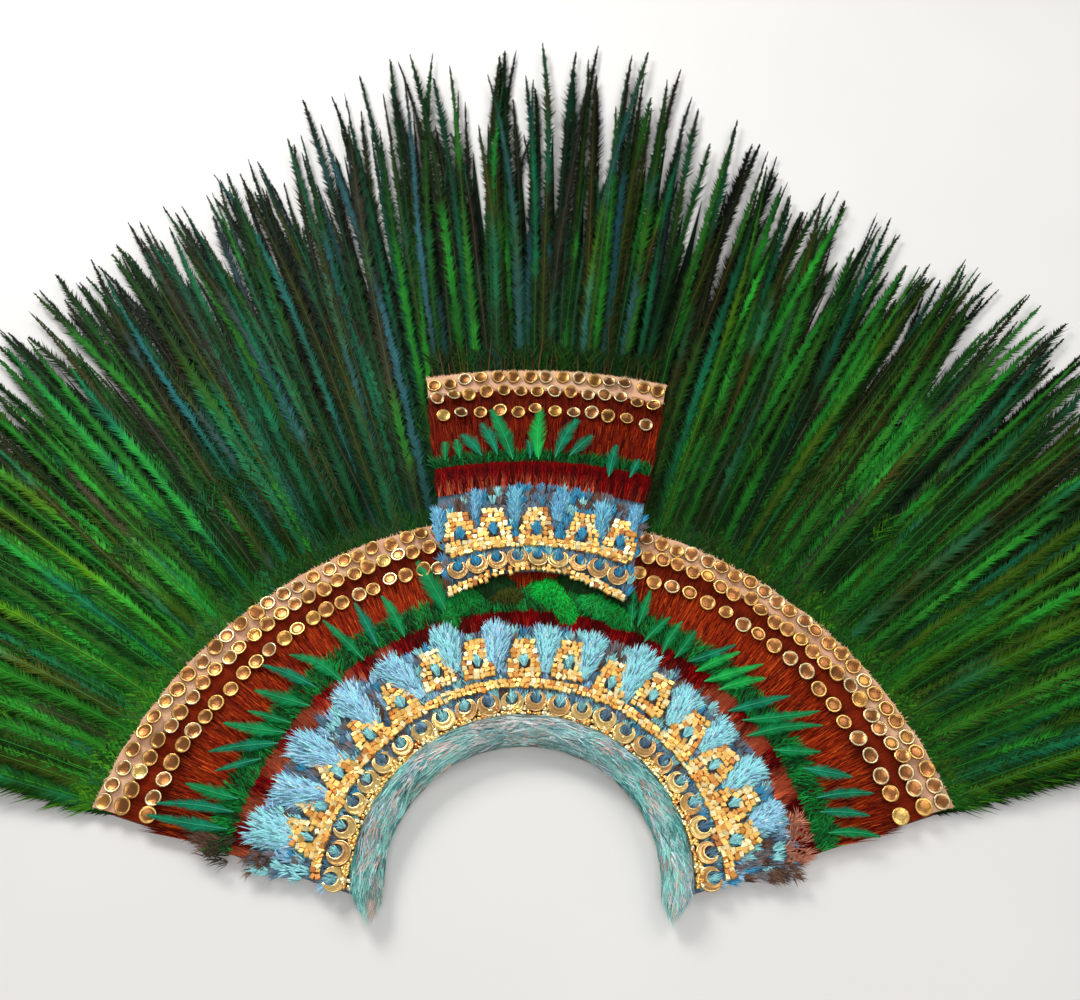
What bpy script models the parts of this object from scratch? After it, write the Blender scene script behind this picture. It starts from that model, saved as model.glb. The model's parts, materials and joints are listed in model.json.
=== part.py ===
"""Feathered headdress, lying on its back.

A fan of long green plumes springs from behind an arc of feather bands. The arc goes round an open
head hollow. From the hollow outwards it has a rolled turquoise trim, a turquoise bed with gold, a
red band, a green band with pointed leaves, a brown field and a hide strip set with gold discs. A
raised panel at the crown repeats the same bands.

Metres. +X to the wearer's left as seen from the front, +Y to the plume tips, +Z out of the front
face. Every outline is worked out about the fan's centre, which lies between the arc's two ends.
"""

import math
from collections import namedtuple

import bmesh
import bpy
from mathutils import Matrix, Vector

# The fan
PLUME_TOP = 1.190
FAN_HALF = math.radians(73.0)
END_DROP = 0.017
GAP = 0.0003
ARC_STEPS = 20

# The head hollow, and the width of each band of the arc outwards from it, at crown and ends
HOLLOW_CROWN = 0.155
HOLLOW_ENDS = 0.113
TRIM_CROWN = 0.0275
TRIM_ENDS = 0.0275
BED_CROWN = 0.0895
BED_ENDS = 0.0935
RED_CROWN = 0.020
RED_ENDS = 0.018
FUR_CROWN = 0.014
FUR_ENDS = 0.019
FIELD_CROWN = 0.094
FIELD_ENDS = 0.122

# Thicknesses, from the back to the front
BACKING_T = 0.003
BED_T = 0.005
RED_T = 0.006
GREEN_T = 0.004
STRIP_T = 0.0015
GOLD_T = 0.0016
PANEL_BACKING_T = 0.0046
TRIM_HEIGHT = 0.021
BACKING_INSET = 0.003
TRIM_OVERHANG = 0.005

# Gold discs
DISC_DIAMETER = 0.0146
DISC_T = 0.0014
DISC_SIDES = 10
DISC_SINK = 0.0006
STRIP_WIDTH = 0.035
ROOT_LAP = 0.018
OUTER_ROW_INSET = 0.009
MIDDLE_ROW_INSET = 0.026
LEAF_TIP_INSET = 0.0573
OUTER_ROW_COUNT = 26
MIDDLE_ROW_COUNT = 24
ROW_END_MARGIN = 0.009

# Gold hem, crescents and stepped ornaments
HEM_MARGIN = 0.001
HEM_WIDTH = 0.006
CRESCENT_DIAMETER = 0.0175
CRESCENT_COUNT = 27
BITE_SHARE = 0.66
BITE_HEIGHT_SHARE = 1.40
STEP_LINE_GAP = 0.003
STEP_LINE_WIDTH = 0.005
STEP_WIDTH = 0.027
STEP_HEIGHT = 0.036
STEP_COUNT = 15

# Pointed green leaves
LEAF_WIDTH = 0.012
LEAF_LEAN = 0.014
LEAF_COUNT = 13
LEAF_END_MARGIN = 0.028

# The raised panel at the crown
PANEL_TURN = math.radians(2.2)
PANEL_FOOT_RADIUS = 0.333
PANEL_FOOT_DROP = 0.017
PANEL_HALF_FOOT = 0.091
PANEL_HALF_TOP = 0.132
PANEL_BED_WIDTH = 0.094
PANEL_RED_WIDTH = 0.035
PANEL_FIELD_WIDTH = 0.118
PANEL_FOOT_OVERHANG = 0.008
PANEL_SIDE_INSET = 0.004
PANEL_OUTER_ROW_COUNT = 15
PANEL_MIDDLE_ROW_COUNT = 14
PANEL_CRESCENT_DIAMETER = 0.0175
PANEL_CRESCENT_COUNT = 9
PANEL_CRESCENT_RISE = 0.011
PANEL_CRESCENT_DROP = 0.009
PANEL_STEP_COUNT = 5
PANEL_STEP_WIDTH = 0.024
PANEL_FUR_WIDTH = 0.010

# Plumes
BLADE_ROOT_Z = 0.0083
BLADE_RIDGE_Z = 0.0125
BLADE_VALLEY_Z = 0.0062
BLADE_TIP_Z = 0.0025
TIP_TAPER = 0.17
STAGGER = 0.035
STAGGER_TURN = 2.33
CREST_SHARE = 0.3
END_THINNING = 0.65

Line = namedtuple("Line", "crown ends")
Tooth = namedtuple("Tooth", "along out")
Reach = namedtuple("Reach", "span_share length_share")
Leaf = namedtuple("Leaf", "share length lean")

# How far the plumes reach, as shares of PLUME_TOP, against their share of the fan's half span
REACHES = (
    Reach(0.00, 1.000),
    Reach(0.11, 0.985),
    Reach(0.18, 0.930),
    Reach(0.25, 0.868),
    Reach(0.34, 0.822),
    Reach(0.48, 0.796),
    Reach(0.65, 0.782),
    Reach(1.00, 0.772),
)

# Stepped ornament, half of it: shares of its half width and of its height
STEP_HALF = (Tooth(1.0, 0.0), Tooth(1.0, 0.40), Tooth(0.72, 0.40), Tooth(0.72, 0.72), Tooth(0.42, 0.72), Tooth(0.42, 1.0))

# Leaf, half of it: shares of its half width and of its length
LEAF_HALF = (Tooth(0.70, 0.0), Tooth(1.0, 0.50))

# Lengths of the arc's leaves from the panel outwards, as shares of the longest that fits
ARC_LEAF_LENGTHS = (1.0, 0.86, 0.94, 0.70, 0.98, 0.62, 0.90, 0.66, 0.84, 0.72, 0.58, 0.92, 1.0)

# Leaves of the panel: place across it, length as a share of the longest that fits, and lean
PANEL_LEAVES = (
    Leaf(-0.80, 0.30, -0.3),
    Leaf(-0.62, 0.42, -0.5),
    Leaf(-0.42, 0.62, -0.9),
    Leaf(-0.22, 1.00, -1.2),
    Leaf(0.00, 1.02, 0.1),
    Leaf(0.24, 0.86, 1.0),
    Leaf(0.46, 0.46, 0.9),
    Leaf(0.76, 0.50, 0.4),
)

COLOURS = {
    "plume_green": (0.02, 0.13, 0.04, 1.0),
    "leaf_green": (0.01, 0.22, 0.09, 1.0),
    "turquoise": (0.13, 0.42, 0.52, 1.0),
    "red_feather": (0.38, 0.012, 0.01, 1.0),
    "brown_feather": (0.24, 0.045, 0.012, 1.0),
    "hide": (0.62, 0.44, 0.32, 1.0),
    "fibre": (0.42, 0.32, 0.20, 1.0),
    "gold": (0.83, 0.52, 0.17, 1.0),
}
METALS = ("gold",)


def wider(line, crown, ends):
    """The line that lies this much further out at the crown and at the ends."""
    return Line(line.crown + crown, line.ends + ends)


HOLLOW = Line(HOLLOW_CROWN, HOLLOW_ENDS)
TRIM_OUT = wider(HOLLOW, TRIM_CROWN, TRIM_ENDS)
BED_OUT = wider(TRIM_OUT, BED_CROWN, BED_ENDS)
RED_OUT = wider(BED_OUT, RED_CROWN, RED_ENDS)
FUR_OUT = wider(RED_OUT, FUR_CROWN, FUR_ENDS)
EDGE = wider(FUR_OUT, FIELD_CROWN, FIELD_ENDS)
ROOTS = wider(EDGE, -ROOT_LAP, -ROOT_LAP)

PANEL_FOOT = Line(PANEL_FOOT_RADIUS, PANEL_FOOT_RADIUS - PANEL_FOOT_DROP)
PANEL_BED_OUT = wider(PANEL_FOOT, PANEL_BED_WIDTH, PANEL_BED_WIDTH + PANEL_FOOT_DROP)
PANEL_RED_OUT = wider(PANEL_BED_OUT, PANEL_RED_WIDTH, PANEL_RED_WIDTH)
PANEL_TOP = wider(PANEL_RED_OUT, PANEL_FIELD_WIDTH, PANEL_FIELD_WIDTH)

BED_Z = BACKING_T + GAP
ORNAMENT_Z = BED_Z + BED_T + GAP
PANEL_BED_Z = ORNAMENT_Z + PANEL_BACKING_T + GAP
PANEL_ORNAMENT_Z = PANEL_BED_Z + BED_T + GAP


def arc_place(share, line, out=0.0, along=0.0):
    """A point of the arc: share runs from -1 to 1 between its ends, whose cut drops below the fan's centre."""
    angle = share * (FAN_HALF + math.asin(END_DROP / line.ends))
    radius = line.ends + (line.crown - line.ends) * math.cos(angle) + out
    angle += along / radius
    return Vector((radius * math.sin(angle), radius * math.cos(angle), 0.0))


def panel_half_angle(radius):
    """Half the panel's spread at a radius: its sides part evenly from foot to top."""
    rise = (radius - PANEL_FOOT.crown) / (PANEL_TOP.crown - PANEL_FOOT.crown)
    half_width = PANEL_HALF_FOOT + (PANEL_HALF_TOP - PANEL_HALF_FOOT) * rise
    return math.asin(half_width / radius)


def panel_place(share, line, out=0.0, along=0.0):
    """A point of the panel: share runs from -1 to 1 between its sides."""
    radius = line.crown + (line.ends - line.crown) * share**2 + out
    angle = share * panel_half_angle(radius) + along / radius
    return Vector((radius * math.sin(angle), radius * math.cos(angle), 0.0))


def edge_points(place, line, start, end, steps):
    """Points along a line, evenly from one share to another."""
    return [place(start + (end - start) * k / steps, line) for k in range(steps + 1)]


def between(place, inner, outer, start, end, steps):
    """The closed outline between two lines."""
    return edge_points(place, inner, start, end, steps) + edge_points(place, outer, end, start, steps)


def spread(start, end, count):
    """Shares evenly from start to end, both included."""
    return [start + (end - start) * k / (count - 1) for k in range(count)]


def evenly(place, line, start, end, count):
    """Shares from start to end that lie equally far apart along a line."""
    fine = spread(start, end, 121)
    lengths = [0.0]
    for before, after in zip(fine, fine[1:]):
        lengths.append(lengths[-1] + (place(after, line) - place(before, line)).length)
    shares = [start]
    for wanted in spread(0.0, lengths[-1], count)[1:]:
        k = max(n for n, length in enumerate(lengths[:-1]) if length < wanted)
        rise = (wanted - lengths[k]) / (lengths[k + 1] - lengths[k])
        shares.append(fine[k] + (fine[k + 1] - fine[k]) * rise)
    return shares


def share_of(place, line, length):
    """How much share a length along a line takes, near the middle of one side."""
    step = 0.01
    middle = 0.5
    return length * step / (place(middle + step, line) - place(middle, line)).length


def both_sides(half):
    """A tooth's whole profile from its half, from its -along foot over the top to its +along foot."""
    return [Tooth(-t.along, t.out) for t in half] + list(reversed(half))


def teeth_points(place, line, shares, profile, half_width, height):
    """The profile repeated along a line."""
    return [
        place(share, line, out=tooth.out * height, along=tooth.along * half_width)
        for share in shares
        for tooth in profile
    ]


def leaf_points(place, fur_line, row, leaves):
    """Pointed leaves along the fur's edge, which lean sideways and end by a row."""
    profile = both_sides(LEAF_HALF)
    profile.insert(len(LEAF_HALF), Tooth(0.0, 1.0))
    points = []
    for leaf in leaves:
        reach = place(leaf.share, row).length - place(leaf.share, fur_line).length
        height = leaf.length * reach
        for tooth in profile:
            sideways = tooth.along * LEAF_WIDTH / 2 + leaf.lean * LEAF_LEAN * tooth.out
            points.append(place(leaf.share, fur_line, out=tooth.out * height, along=sideways))
    return points


def link(obj, collection, parent):
    """Puts a new object in its collection, under its parent."""
    collection.objects.link(obj)
    obj.parent = parent
    return obj


def material(name):
    """The Principled material of a colour name."""
    found = bpy.data.materials.get(name)
    if found:
        return found
    made = bpy.data.materials.new(name)
    made.use_nodes = True
    shader = made.node_tree.nodes["Principled BSDF"]
    shader.inputs["Base Color"].default_value = COLOURS[name]
    shader.inputs["Metallic"].default_value = 1.0 if name in METALS else 0.0
    shader.inputs["Roughness"].default_value = 0.3 if name in METALS else 0.75
    made.diffuse_color = COLOURS[name]
    return made


def flat_curve(name, outline, bottom, top):
    """A closed outline as a filled curve between two heights."""
    curve = bpy.data.curves.new(name, "CURVE")
    curve.dimensions = "2D"
    curve.fill_mode = "BOTH"
    curve.extrude = (top - bottom) / 2
    spline = curve.splines.new("POLY")
    spline.points.add(len(outline) - 1)
    for point, place in zip(spline.points, outline):
        point.co = (place.x, place.y, 0.0, 1.0)
    spline.use_cyclic_u = True
    obj = bpy.data.objects.new(name, curve)
    obj.location.z = (top + bottom) / 2
    return obj


def flat_piece(name, outline, bottom, top, colour, parent):
    """A flat piece of the headdress, as its own object."""
    obj = link(flat_curve(name, outline, bottom, top), HEADDRESS, parent)
    obj.data.materials.append(material(colour))
    return obj


def meshed(obj):
    """The same object as a mesh with welded caps, so that it takes a Boolean."""
    bpy.context.view_layer.update()
    graph = bpy.context.evaluated_depsgraph_get()
    mesh = bpy.data.meshes.new_from_object(obj.evaluated_get(graph))
    shape = bmesh.new()
    shape.from_mesh(mesh)
    bmesh.ops.remove_doubles(shape, verts=shape.verts, dist=1e-6)
    bmesh.ops.recalc_face_normals(shape, faces=shape.faces)
    shape.to_mesh(mesh)
    shape.free()
    made = bpy.data.objects.new(obj.name + "_mesh", mesh)
    made.matrix_local = obj.matrix_local
    name = obj.name
    link(made, HEADDRESS, obj.parent)
    bpy.data.objects.remove(obj)
    made.name = name
    return made


def joined_to(obj, name, shape):
    """Fuses a bmesh of separate closed shapes to a mesh object, through a Boolean."""
    mesh = bpy.data.meshes.new(name)
    shape.to_mesh(mesh)
    shape.free()
    helper = link(bpy.data.objects.new(name, mesh), HELPERS, obj.parent)
    helper.hide_render = True
    helper.display_type = "WIRE"
    union = obj.modifiers.new(name, "BOOLEAN")
    union.operation = "UNION"
    union.solver = "EXACT"
    union.object = helper
    return obj


def discs(centres, bottom, top):
    """Upright discs as one bmesh."""
    shape = bmesh.new()
    for centre in centres:
        place = Matrix.Translation((centre.x, centre.y, (bottom + top) / 2))
        bmesh.ops.create_cone(
            shape,
            cap_ends=True,
            segments=DISC_SIDES,
            radius1=DISC_DIAMETER / 2,
            radius2=DISC_DIAMETER / 2,
            depth=top - bottom,
            matrix=place,
        )
    return shape


def crescent_profile(diameter):
    """A crescent that opens outwards, standing on its line: round outside, with a round bite."""
    radius = diameter / 2
    outside = [math.radians(angle) for angle in (-66.0, -12.0, 40.0)]
    left = [Tooth(-radius * math.cos(a), radius + radius * math.sin(a)) for a in outside]
    inside = [math.radians(angle) for angle in (205.0, 270.0, 335.0)]
    bite = radius * BITE_SHARE
    bitten = [Tooth(bite * math.cos(a), radius * BITE_HEIGHT_SHARE + bite * math.sin(a)) for a in inside]
    right = [Tooth(-t.along, t.out) for t in reversed(left)]
    return left + bitten + right


def backing():
    """The fibre sheet that everything on the arc is tied to."""
    inner = wider(HOLLOW, BACKING_INSET, BACKING_INSET)
    outline = between(arc_place, inner, ROOTS, -1.0, 1.0, ARC_STEPS)
    flat_piece("backing", outline, 0.0, BACKING_T, "fibre", FAN)


def trim():
    """The rolled feather trim round the head hollow: a tube, flattened to its height."""
    middle = Line((HOLLOW.crown + TRIM_OUT.crown) / 2, (HOLLOW.ends + TRIM_OUT.ends) / 2)
    reach = 1.0 + share_of(arc_place, middle, TRIM_OVERHANG)
    curve = bpy.data.curves.new("trim", "CURVE")
    curve.dimensions = "3D"
    curve.bevel_depth = 1.0
    curve.bevel_resolution = 3
    curve.use_fill_caps = True
    path = spread(-reach, reach, 21)
    spline = curve.splines.new("POLY")
    spline.points.add(len(path) - 1)
    for point, share in zip(spline.points, path):
        place = arc_place(share, middle)
        point.co = (place.x, place.y, 0.0, 1.0)
        width = arc_place(share, TRIM_OUT).length - arc_place(share, HOLLOW).length
        point.radius = width / 2 - GAP
    tube = link(bpy.data.objects.new("trim", curve), HEADDRESS, FAN)
    tube.data.materials.append(material("turquoise"))
    tube = meshed(tube)
    tube.data.transform(Matrix.Scale(TRIM_HEIGHT / (TRIM_CROWN - 2 * GAP), 4, (0.0, 0.0, 1.0)))
    tube.location.z = BED_Z + TRIM_HEIGHT / 2
    tube.data.shade_smooth()


def arc_beds():
    """The turquoise bed, the red band and the brown field, side by side on the backing."""
    top = BED_Z + BED_T
    bed = between(arc_place, wider(TRIM_OUT, GAP, GAP), BED_OUT, -1.0, 1.0, ARC_STEPS)
    flat_piece("turquoise_bed", bed, BED_Z, top, "turquoise", FAN)
    red = between(arc_place, wider(BED_OUT, GAP, GAP), RED_OUT, -1.0, 1.0, ARC_STEPS)
    flat_piece("red_band", red, BED_Z, BED_Z + RED_T, "red_feather", FAN)
    field = between(arc_place, wider(RED_OUT, GAP, GAP), ROOTS, -1.0, 1.0, ARC_STEPS)
    flat_piece("brown_field", field, BED_Z, top, "brown_feather", FAN)


def panel_side_share(side, line):
    """The share of a line at which the panel's side crosses it."""
    angle = panel_half_angle(line.crown) + side * PANEL_TURN
    return side * angle / (FAN_HALF + math.asin(END_DROP / line.ends))


def disc_centres(side, row, count):
    """Disc centres along a row, from beside the panel to the arc's end."""
    margin = share_of(arc_place, row, ROW_END_MARGIN)
    start = abs(panel_side_share(side, row)) + margin
    return [arc_place(side * share, row) for share in spread(start, 1.0 - margin, count)]


def edge_strips():
    """The hide strips along the arc's edge, which clamp the plume roots and carry two rows of discs."""
    top = ORNAMENT_Z + STRIP_T
    inner = wider(EDGE, -STRIP_WIDTH, -STRIP_WIDTH)
    outer_row = wider(EDGE, -OUTER_ROW_INSET, -OUTER_ROW_INSET)
    middle_row = wider(EDGE, -MIDDLE_ROW_INSET, -MIDDLE_ROW_INSET)
    for name, side in (("edge_strip_left", -1.0), ("edge_strip_right", 1.0)):
        outline = between(arc_place, inner, EDGE, panel_side_share(side, inner), side, 10)
        strip = meshed(flat_piece(name, outline, ORNAMENT_Z, top, "hide", FAN))
        centres = disc_centres(side, outer_row, OUTER_ROW_COUNT)
        centres += disc_centres(side, middle_row, MIDDLE_ROW_COUNT)
        joined_to(strip, name + "_discs", discs(centres, top - DISC_SINK, top + DISC_T))


def arc_leaves(side, row):
    """The leaves of one side of the arc, from beside the panel to its end, all leaning that way."""
    first = abs(panel_side_share(side, row)) + share_of(arc_place, row, LEAF_WIDTH)
    last = 1.0 - share_of(arc_place, row, LEAF_END_MARGIN)
    lengths = [ARC_LEAF_LENGTHS[k % len(ARC_LEAF_LENGTHS)] for k in range(LEAF_COUNT)]
    leaves = [Leaf(side * share, length, side) for share, length in zip(spread(first, last, LEAF_COUNT), lengths)]
    return sorted(leaves)


def green_band():
    """The green band: a furry strip with pointed leaves that lean away from the crown."""
    row = wider(EDGE, -LEAF_TIP_INSET, -LEAF_TIP_INSET)
    left = arc_leaves(-1.0, row)
    right = arc_leaves(1.0, row)
    outline = edge_points(arc_place, wider(RED_OUT, GAP, GAP), 1.0, -1.0, ARC_STEPS)
    outline += [arc_place(-1.0, FUR_OUT)] + leaf_points(arc_place, FUR_OUT, row, left)
    outline += edge_points(arc_place, FUR_OUT, left[-1].share / 2, right[0].share / 2, 4)
    outline += leaf_points(arc_place, FUR_OUT, row, right) + [arc_place(1.0, FUR_OUT)]
    flat_piece("green_band", outline, ORNAMENT_Z, ORNAMENT_Z + GREEN_T, "leaf_green", FAN)


def gold_line(name, place, inner, outer, toothed, parent, bottom):
    """A gold band whose outer edge carries teeth."""
    outline = edge_points(place, inner, 1.0, -1.0, ARC_STEPS if parent is FAN else 8)
    outline += [place(-1.0, outer)] + toothed + [place(1.0, outer)]
    flat_piece(name, outline, bottom, bottom + GOLD_T, "gold", parent)


def arc_gold():
    """The crescents on their hem, and the stepped ornaments on their line."""
    hem_in = wider(TRIM_OUT, HEM_MARGIN, HEM_MARGIN)
    hem_out = wider(hem_in, HEM_WIDTH, HEM_WIDTH)
    end = 1.0 - share_of(arc_place, hem_out, CRESCENT_DIAMETER * 0.6)
    shares = evenly(arc_place, hem_out, -end, end, CRESCENT_COUNT)
    profile = crescent_profile(CRESCENT_DIAMETER)
    toothed = teeth_points(arc_place, hem_out, shares, profile, 1.0, 1.0)
    gold_line("crescent_band", arc_place, hem_in, hem_out, toothed, FAN, ORNAMENT_Z)

    line_out = wider(STEP_FOOT, STEP_LINE_WIDTH, STEP_LINE_WIDTH)
    shares = evenly(arc_place, STEP_FOOT, -STEP_SPAN, STEP_SPAN, STEP_COUNT)
    half = STEP_WIDTH / 2
    profile = both_sides(STEP_HALF)
    toothed = teeth_points(arc_place, line_out, shares, profile, half, STEP_HEIGHT)
    gold_line("step_band", arc_place, STEP_FOOT, line_out, toothed, FAN, ORNAMENT_Z)


def panel_backing():
    """The sheet that holds the panel up off the arc."""
    inner = wider(PANEL_FOOT, PANEL_FOOT_OVERHANG, PANEL_FOOT_OVERHANG + PANEL_FOOT_DROP)
    outer = wider(PANEL_TOP, -PANEL_SIDE_INSET, -PANEL_SIDE_INSET)
    inset = 1.0 - PANEL_SIDE_INSET / PANEL_HALF_FOOT
    outline = between(panel_place, inner, outer, -inset, inset, 6)
    flat_piece("panel_backing", outline, ORNAMENT_Z, ORNAMENT_Z + PANEL_BACKING_T, "fibre", PANEL)


def panel_beds():
    """The panel's turquoise bed, red band and brown field, side by side on its backing."""
    top = PANEL_BED_Z + BED_T
    bed = between(panel_place, PANEL_FOOT, PANEL_BED_OUT, -1.0, 1.0, 8)
    flat_piece("panel_turquoise_bed", bed, PANEL_BED_Z, top, "turquoise", PANEL)
    red = between(panel_place, wider(PANEL_BED_OUT, GAP, GAP), PANEL_RED_OUT, -1.0, 1.0, 8)
    flat_piece("panel_red_band", red, PANEL_BED_Z, PANEL_BED_Z + RED_T, "red_feather", PANEL)
    field = between(panel_place, wider(PANEL_RED_OUT, GAP, GAP), PANEL_TOP, -1.0, 1.0, 8)
    flat_piece("panel_brown_field", field, PANEL_BED_Z, top, "brown_feather", PANEL)


def panel_strip():
    """The hide strip along the panel's top edge, with two rows of discs."""
    top = PANEL_ORNAMENT_Z + STRIP_T
    inner = wider(PANEL_TOP, -STRIP_WIDTH, -STRIP_WIDTH)
    strip = between(panel_place, inner, PANEL_TOP, -1.0, 1.0, 8)
    strip = meshed(flat_piece("panel_edge_strip", strip, PANEL_ORNAMENT_Z, top, "hide", PANEL))
    margin = 1.0 - ROW_END_MARGIN / PANEL_HALF_TOP
    centres = []
    rows = ((OUTER_ROW_INSET, PANEL_OUTER_ROW_COUNT), (MIDDLE_ROW_INSET, PANEL_MIDDLE_ROW_COUNT))
    for inset, count in rows:
        row = wider(PANEL_TOP, -inset, -inset)
        centres += [panel_place(share, row) for share in spread(-margin, margin, count)]
    joined_to(strip, "panel_edge_discs", discs(centres, top - DISC_SINK, top + DISC_T))


def panel_green_band():
    """The panel's green band, with leaves of several lengths."""
    fur_out = wider(PANEL_RED_OUT, PANEL_FUR_WIDTH, PANEL_FUR_WIDTH)
    row = wider(PANEL_TOP, -LEAF_TIP_INSET, -LEAF_TIP_INSET)
    outline = edge_points(panel_place, wider(PANEL_RED_OUT, GAP, GAP), 1.0, -1.0, 8)
    outline += [panel_place(-1.0, fur_out)]
    outline += leaf_points(panel_place, fur_out, row, PANEL_LEAVES)
    outline += [panel_place(1.0, fur_out)]
    top = PANEL_ORNAMENT_Z + GREEN_T
    flat_piece("panel_green_band", outline, PANEL_ORNAMENT_Z, top, "leaf_green", PANEL)


def panel_gold():
    """The panel's hem, its crescents on their line and its stepped ornaments on theirs."""
    inner = wider(PANEL_FOOT, HEM_MARGIN, HEM_MARGIN)
    hem = between(panel_place, inner, wider(inner, HEM_WIDTH, HEM_WIDTH), -1.0, 1.0, 10)
    flat_piece("panel_hem", hem, PANEL_ORNAMENT_Z, PANEL_ORNAMENT_Z + GOLD_T, "gold", PANEL)

    shares = spread(-PANEL_CRESCENT_SPAN, PANEL_CRESCENT_SPAN, PANEL_CRESCENT_COUNT)
    crescent_out = wider(PANEL_CRESCENTS, HEM_MARGIN, HEM_MARGIN)
    profile = crescent_profile(PANEL_CRESCENT_DIAMETER)
    toothed = teeth_points(panel_place, crescent_out, shares, profile, 1.0, 1.0)
    gold_line("panel_crescents", panel_place, PANEL_CRESCENTS, crescent_out, toothed, PANEL, PANEL_ORNAMENT_Z)

    line_out = wider(PANEL_STEP_FOOT, STEP_LINE_WIDTH, STEP_LINE_WIDTH)
    shares = spread(-PANEL_STEP_SPAN, PANEL_STEP_SPAN, PANEL_STEP_COUNT)
    half = PANEL_STEP_WIDTH / 2
    profile = both_sides(STEP_HALF)
    toothed = teeth_points(panel_place, line_out, shares, profile, half, STEP_HEIGHT)
    gold_line("panel_steps", panel_place, PANEL_STEP_FOOT, line_out, toothed, PANEL, PANEL_ORNAMENT_Z)


def reach_at(share):
    """How far a plume reaches at a share of the half span, straight between the table's rows."""
    share = abs(share)
    for low, high in zip(REACHES, REACHES[1:]):
        if share <= high.span_share:
            rise = (share - low.span_share) / (high.span_share - low.span_share)
            return PLUME_TOP * (low.length_share + (high.length_share - low.length_share) * rise)
    return PLUME_TOP * REACHES[-1].length_share


def blade_rows(share, root, shoulder, end, height):
    """One blade's line in points: flat from its root to the shoulder, up to its height, then down."""
    crest = shoulder + (end - shoulder) * CREST_SHARE
    rows = ((root, BLADE_ROOT_Z), (shoulder, BLADE_ROOT_Z), (crest, height), (end, height * END_THINNING))
    return [arc_place(share, Line(radius, radius)) + Vector((0.0, 0.0, z)) for radius, z in rows]


def plume_sector(name, start, end, blades, shoulder):
    """Blades side by side, fused along their length and parted at their tips."""
    shape = bmesh.new()
    pitch = (end - start) / blades
    root = ROOTS.crown + GAP
    valleys = []
    for k in range(blades + 1):
        share = start + k * pitch
        split = reach_at(share) - TIP_TAPER - STAGGER
        inset = (GAP if k == 0 else -GAP if k == blades else 0.0) / shoulder
        points = blade_rows(share + inset, root, shoulder, split, BLADE_VALLEY_Z)
        valleys.append([shape.verts.new(point) for point in points])
    for k in range(blades):
        share = start + (k + 0.5) * pitch
        tip = reach_at(share) - STAGGER * abs(math.sin(STAGGER_TURN * round(abs(share) / pitch)))
        split = tip - TIP_TAPER
        ridge = [shape.verts.new(point) for point in blade_rows(share, root, shoulder, split, BLADE_RIDGE_Z)]
        neck = tip - TIP_TAPER / 2
        neck_line = Line(neck, neck)
        half = pitch * 0.36
        neck_left, neck_mid, neck_right = [
            shape.verts.new(arc_place(share + side * half, neck_line) + Vector((0.0, 0.0, z)))
            for side, z in ((-1.0, BLADE_TIP_Z), (0.0, BLADE_VALLEY_Z), (1.0, BLADE_TIP_Z))
        ]
        point = shape.verts.new(arc_place(share, Line(tip, tip)) + Vector((0.0, 0.0, BLADE_TIP_Z)))
        for column, edge_column in ((valleys[k], ridge), (ridge, valleys[k + 1])):
            for low, high, far, near in zip(column, column[1:], edge_column[1:], edge_column):
                shape.faces.new((low, near, far, high))
        shape.faces.new((valleys[k][-1], ridge[-1], neck_mid, neck_left))
        shape.faces.new((ridge[-1], valleys[k + 1][-1], neck_right, neck_mid))
        shape.faces.new((neck_left, neck_mid, point))
        shape.faces.new((neck_mid, neck_right, point))
    return thickened(name, shape)


def thickened(name, shape):
    """Closes an upper surface down to one flat back face, as one object."""
    under = bmesh.ops.extrude_face_region(shape, geom=list(shape.faces))["geom"]
    for item in under:
        if isinstance(item, bmesh.types.BMVert):
            item.co.z = 0.0
    back = [item for item in under if isinstance(item, bmesh.types.BMFace)]
    bmesh.ops.dissolve_faces(shape, faces=back, use_verts=True)
    bmesh.ops.recalc_face_normals(shape, faces=shape.faces)
    mesh = bpy.data.meshes.new(name)
    shape.to_mesh(mesh)
    shape.free()
    mesh.materials.append(material("plume_green"))
    return link(bpy.data.objects.new(name, mesh), HEADDRESS, FAN)


def plumes():
    """Seven sectors of long plumes: the middle one lies flat as far as the panel's top."""
    middle = PLUME_MIDDLE_SHARE
    side_shoulder = EDGE.crown + GAP
    plume_sector("plumes_centre", -middle, middle, 13, PANEL_TOP.crown + GAP)
    width = (1.0 - middle) / 3
    for k, part in enumerate(("high", "middle", "low")):
        near = middle + k * width
        far = near + width
        plume_sector("plumes_left_" + part, -far, -near, 8, side_shoulder)
        plume_sector("plumes_right_" + part, near, far, 8, side_shoulder)


def rest_on_base():
    """Moves the fan so that the whole part's box is centred on the Z axis, with its back on Z 0."""
    bpy.context.view_layer.update()
    graph = bpy.context.evaluated_depsgraph_get()
    places = []
    for obj in HEADDRESS.objects:
        if obj.type != "EMPTY":
            shape = obj.evaluated_get(graph)
            places += [obj.matrix_world @ vertex.co for vertex in shape.to_mesh().vertices]
            shape.to_mesh_clear()
    wide = [place.x for place in places]
    long = [place.y for place in places]
    FAN.location = (-(min(wide) + max(wide)) / 2, -(min(long) + max(long)) / 2, 0.0)


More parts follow.
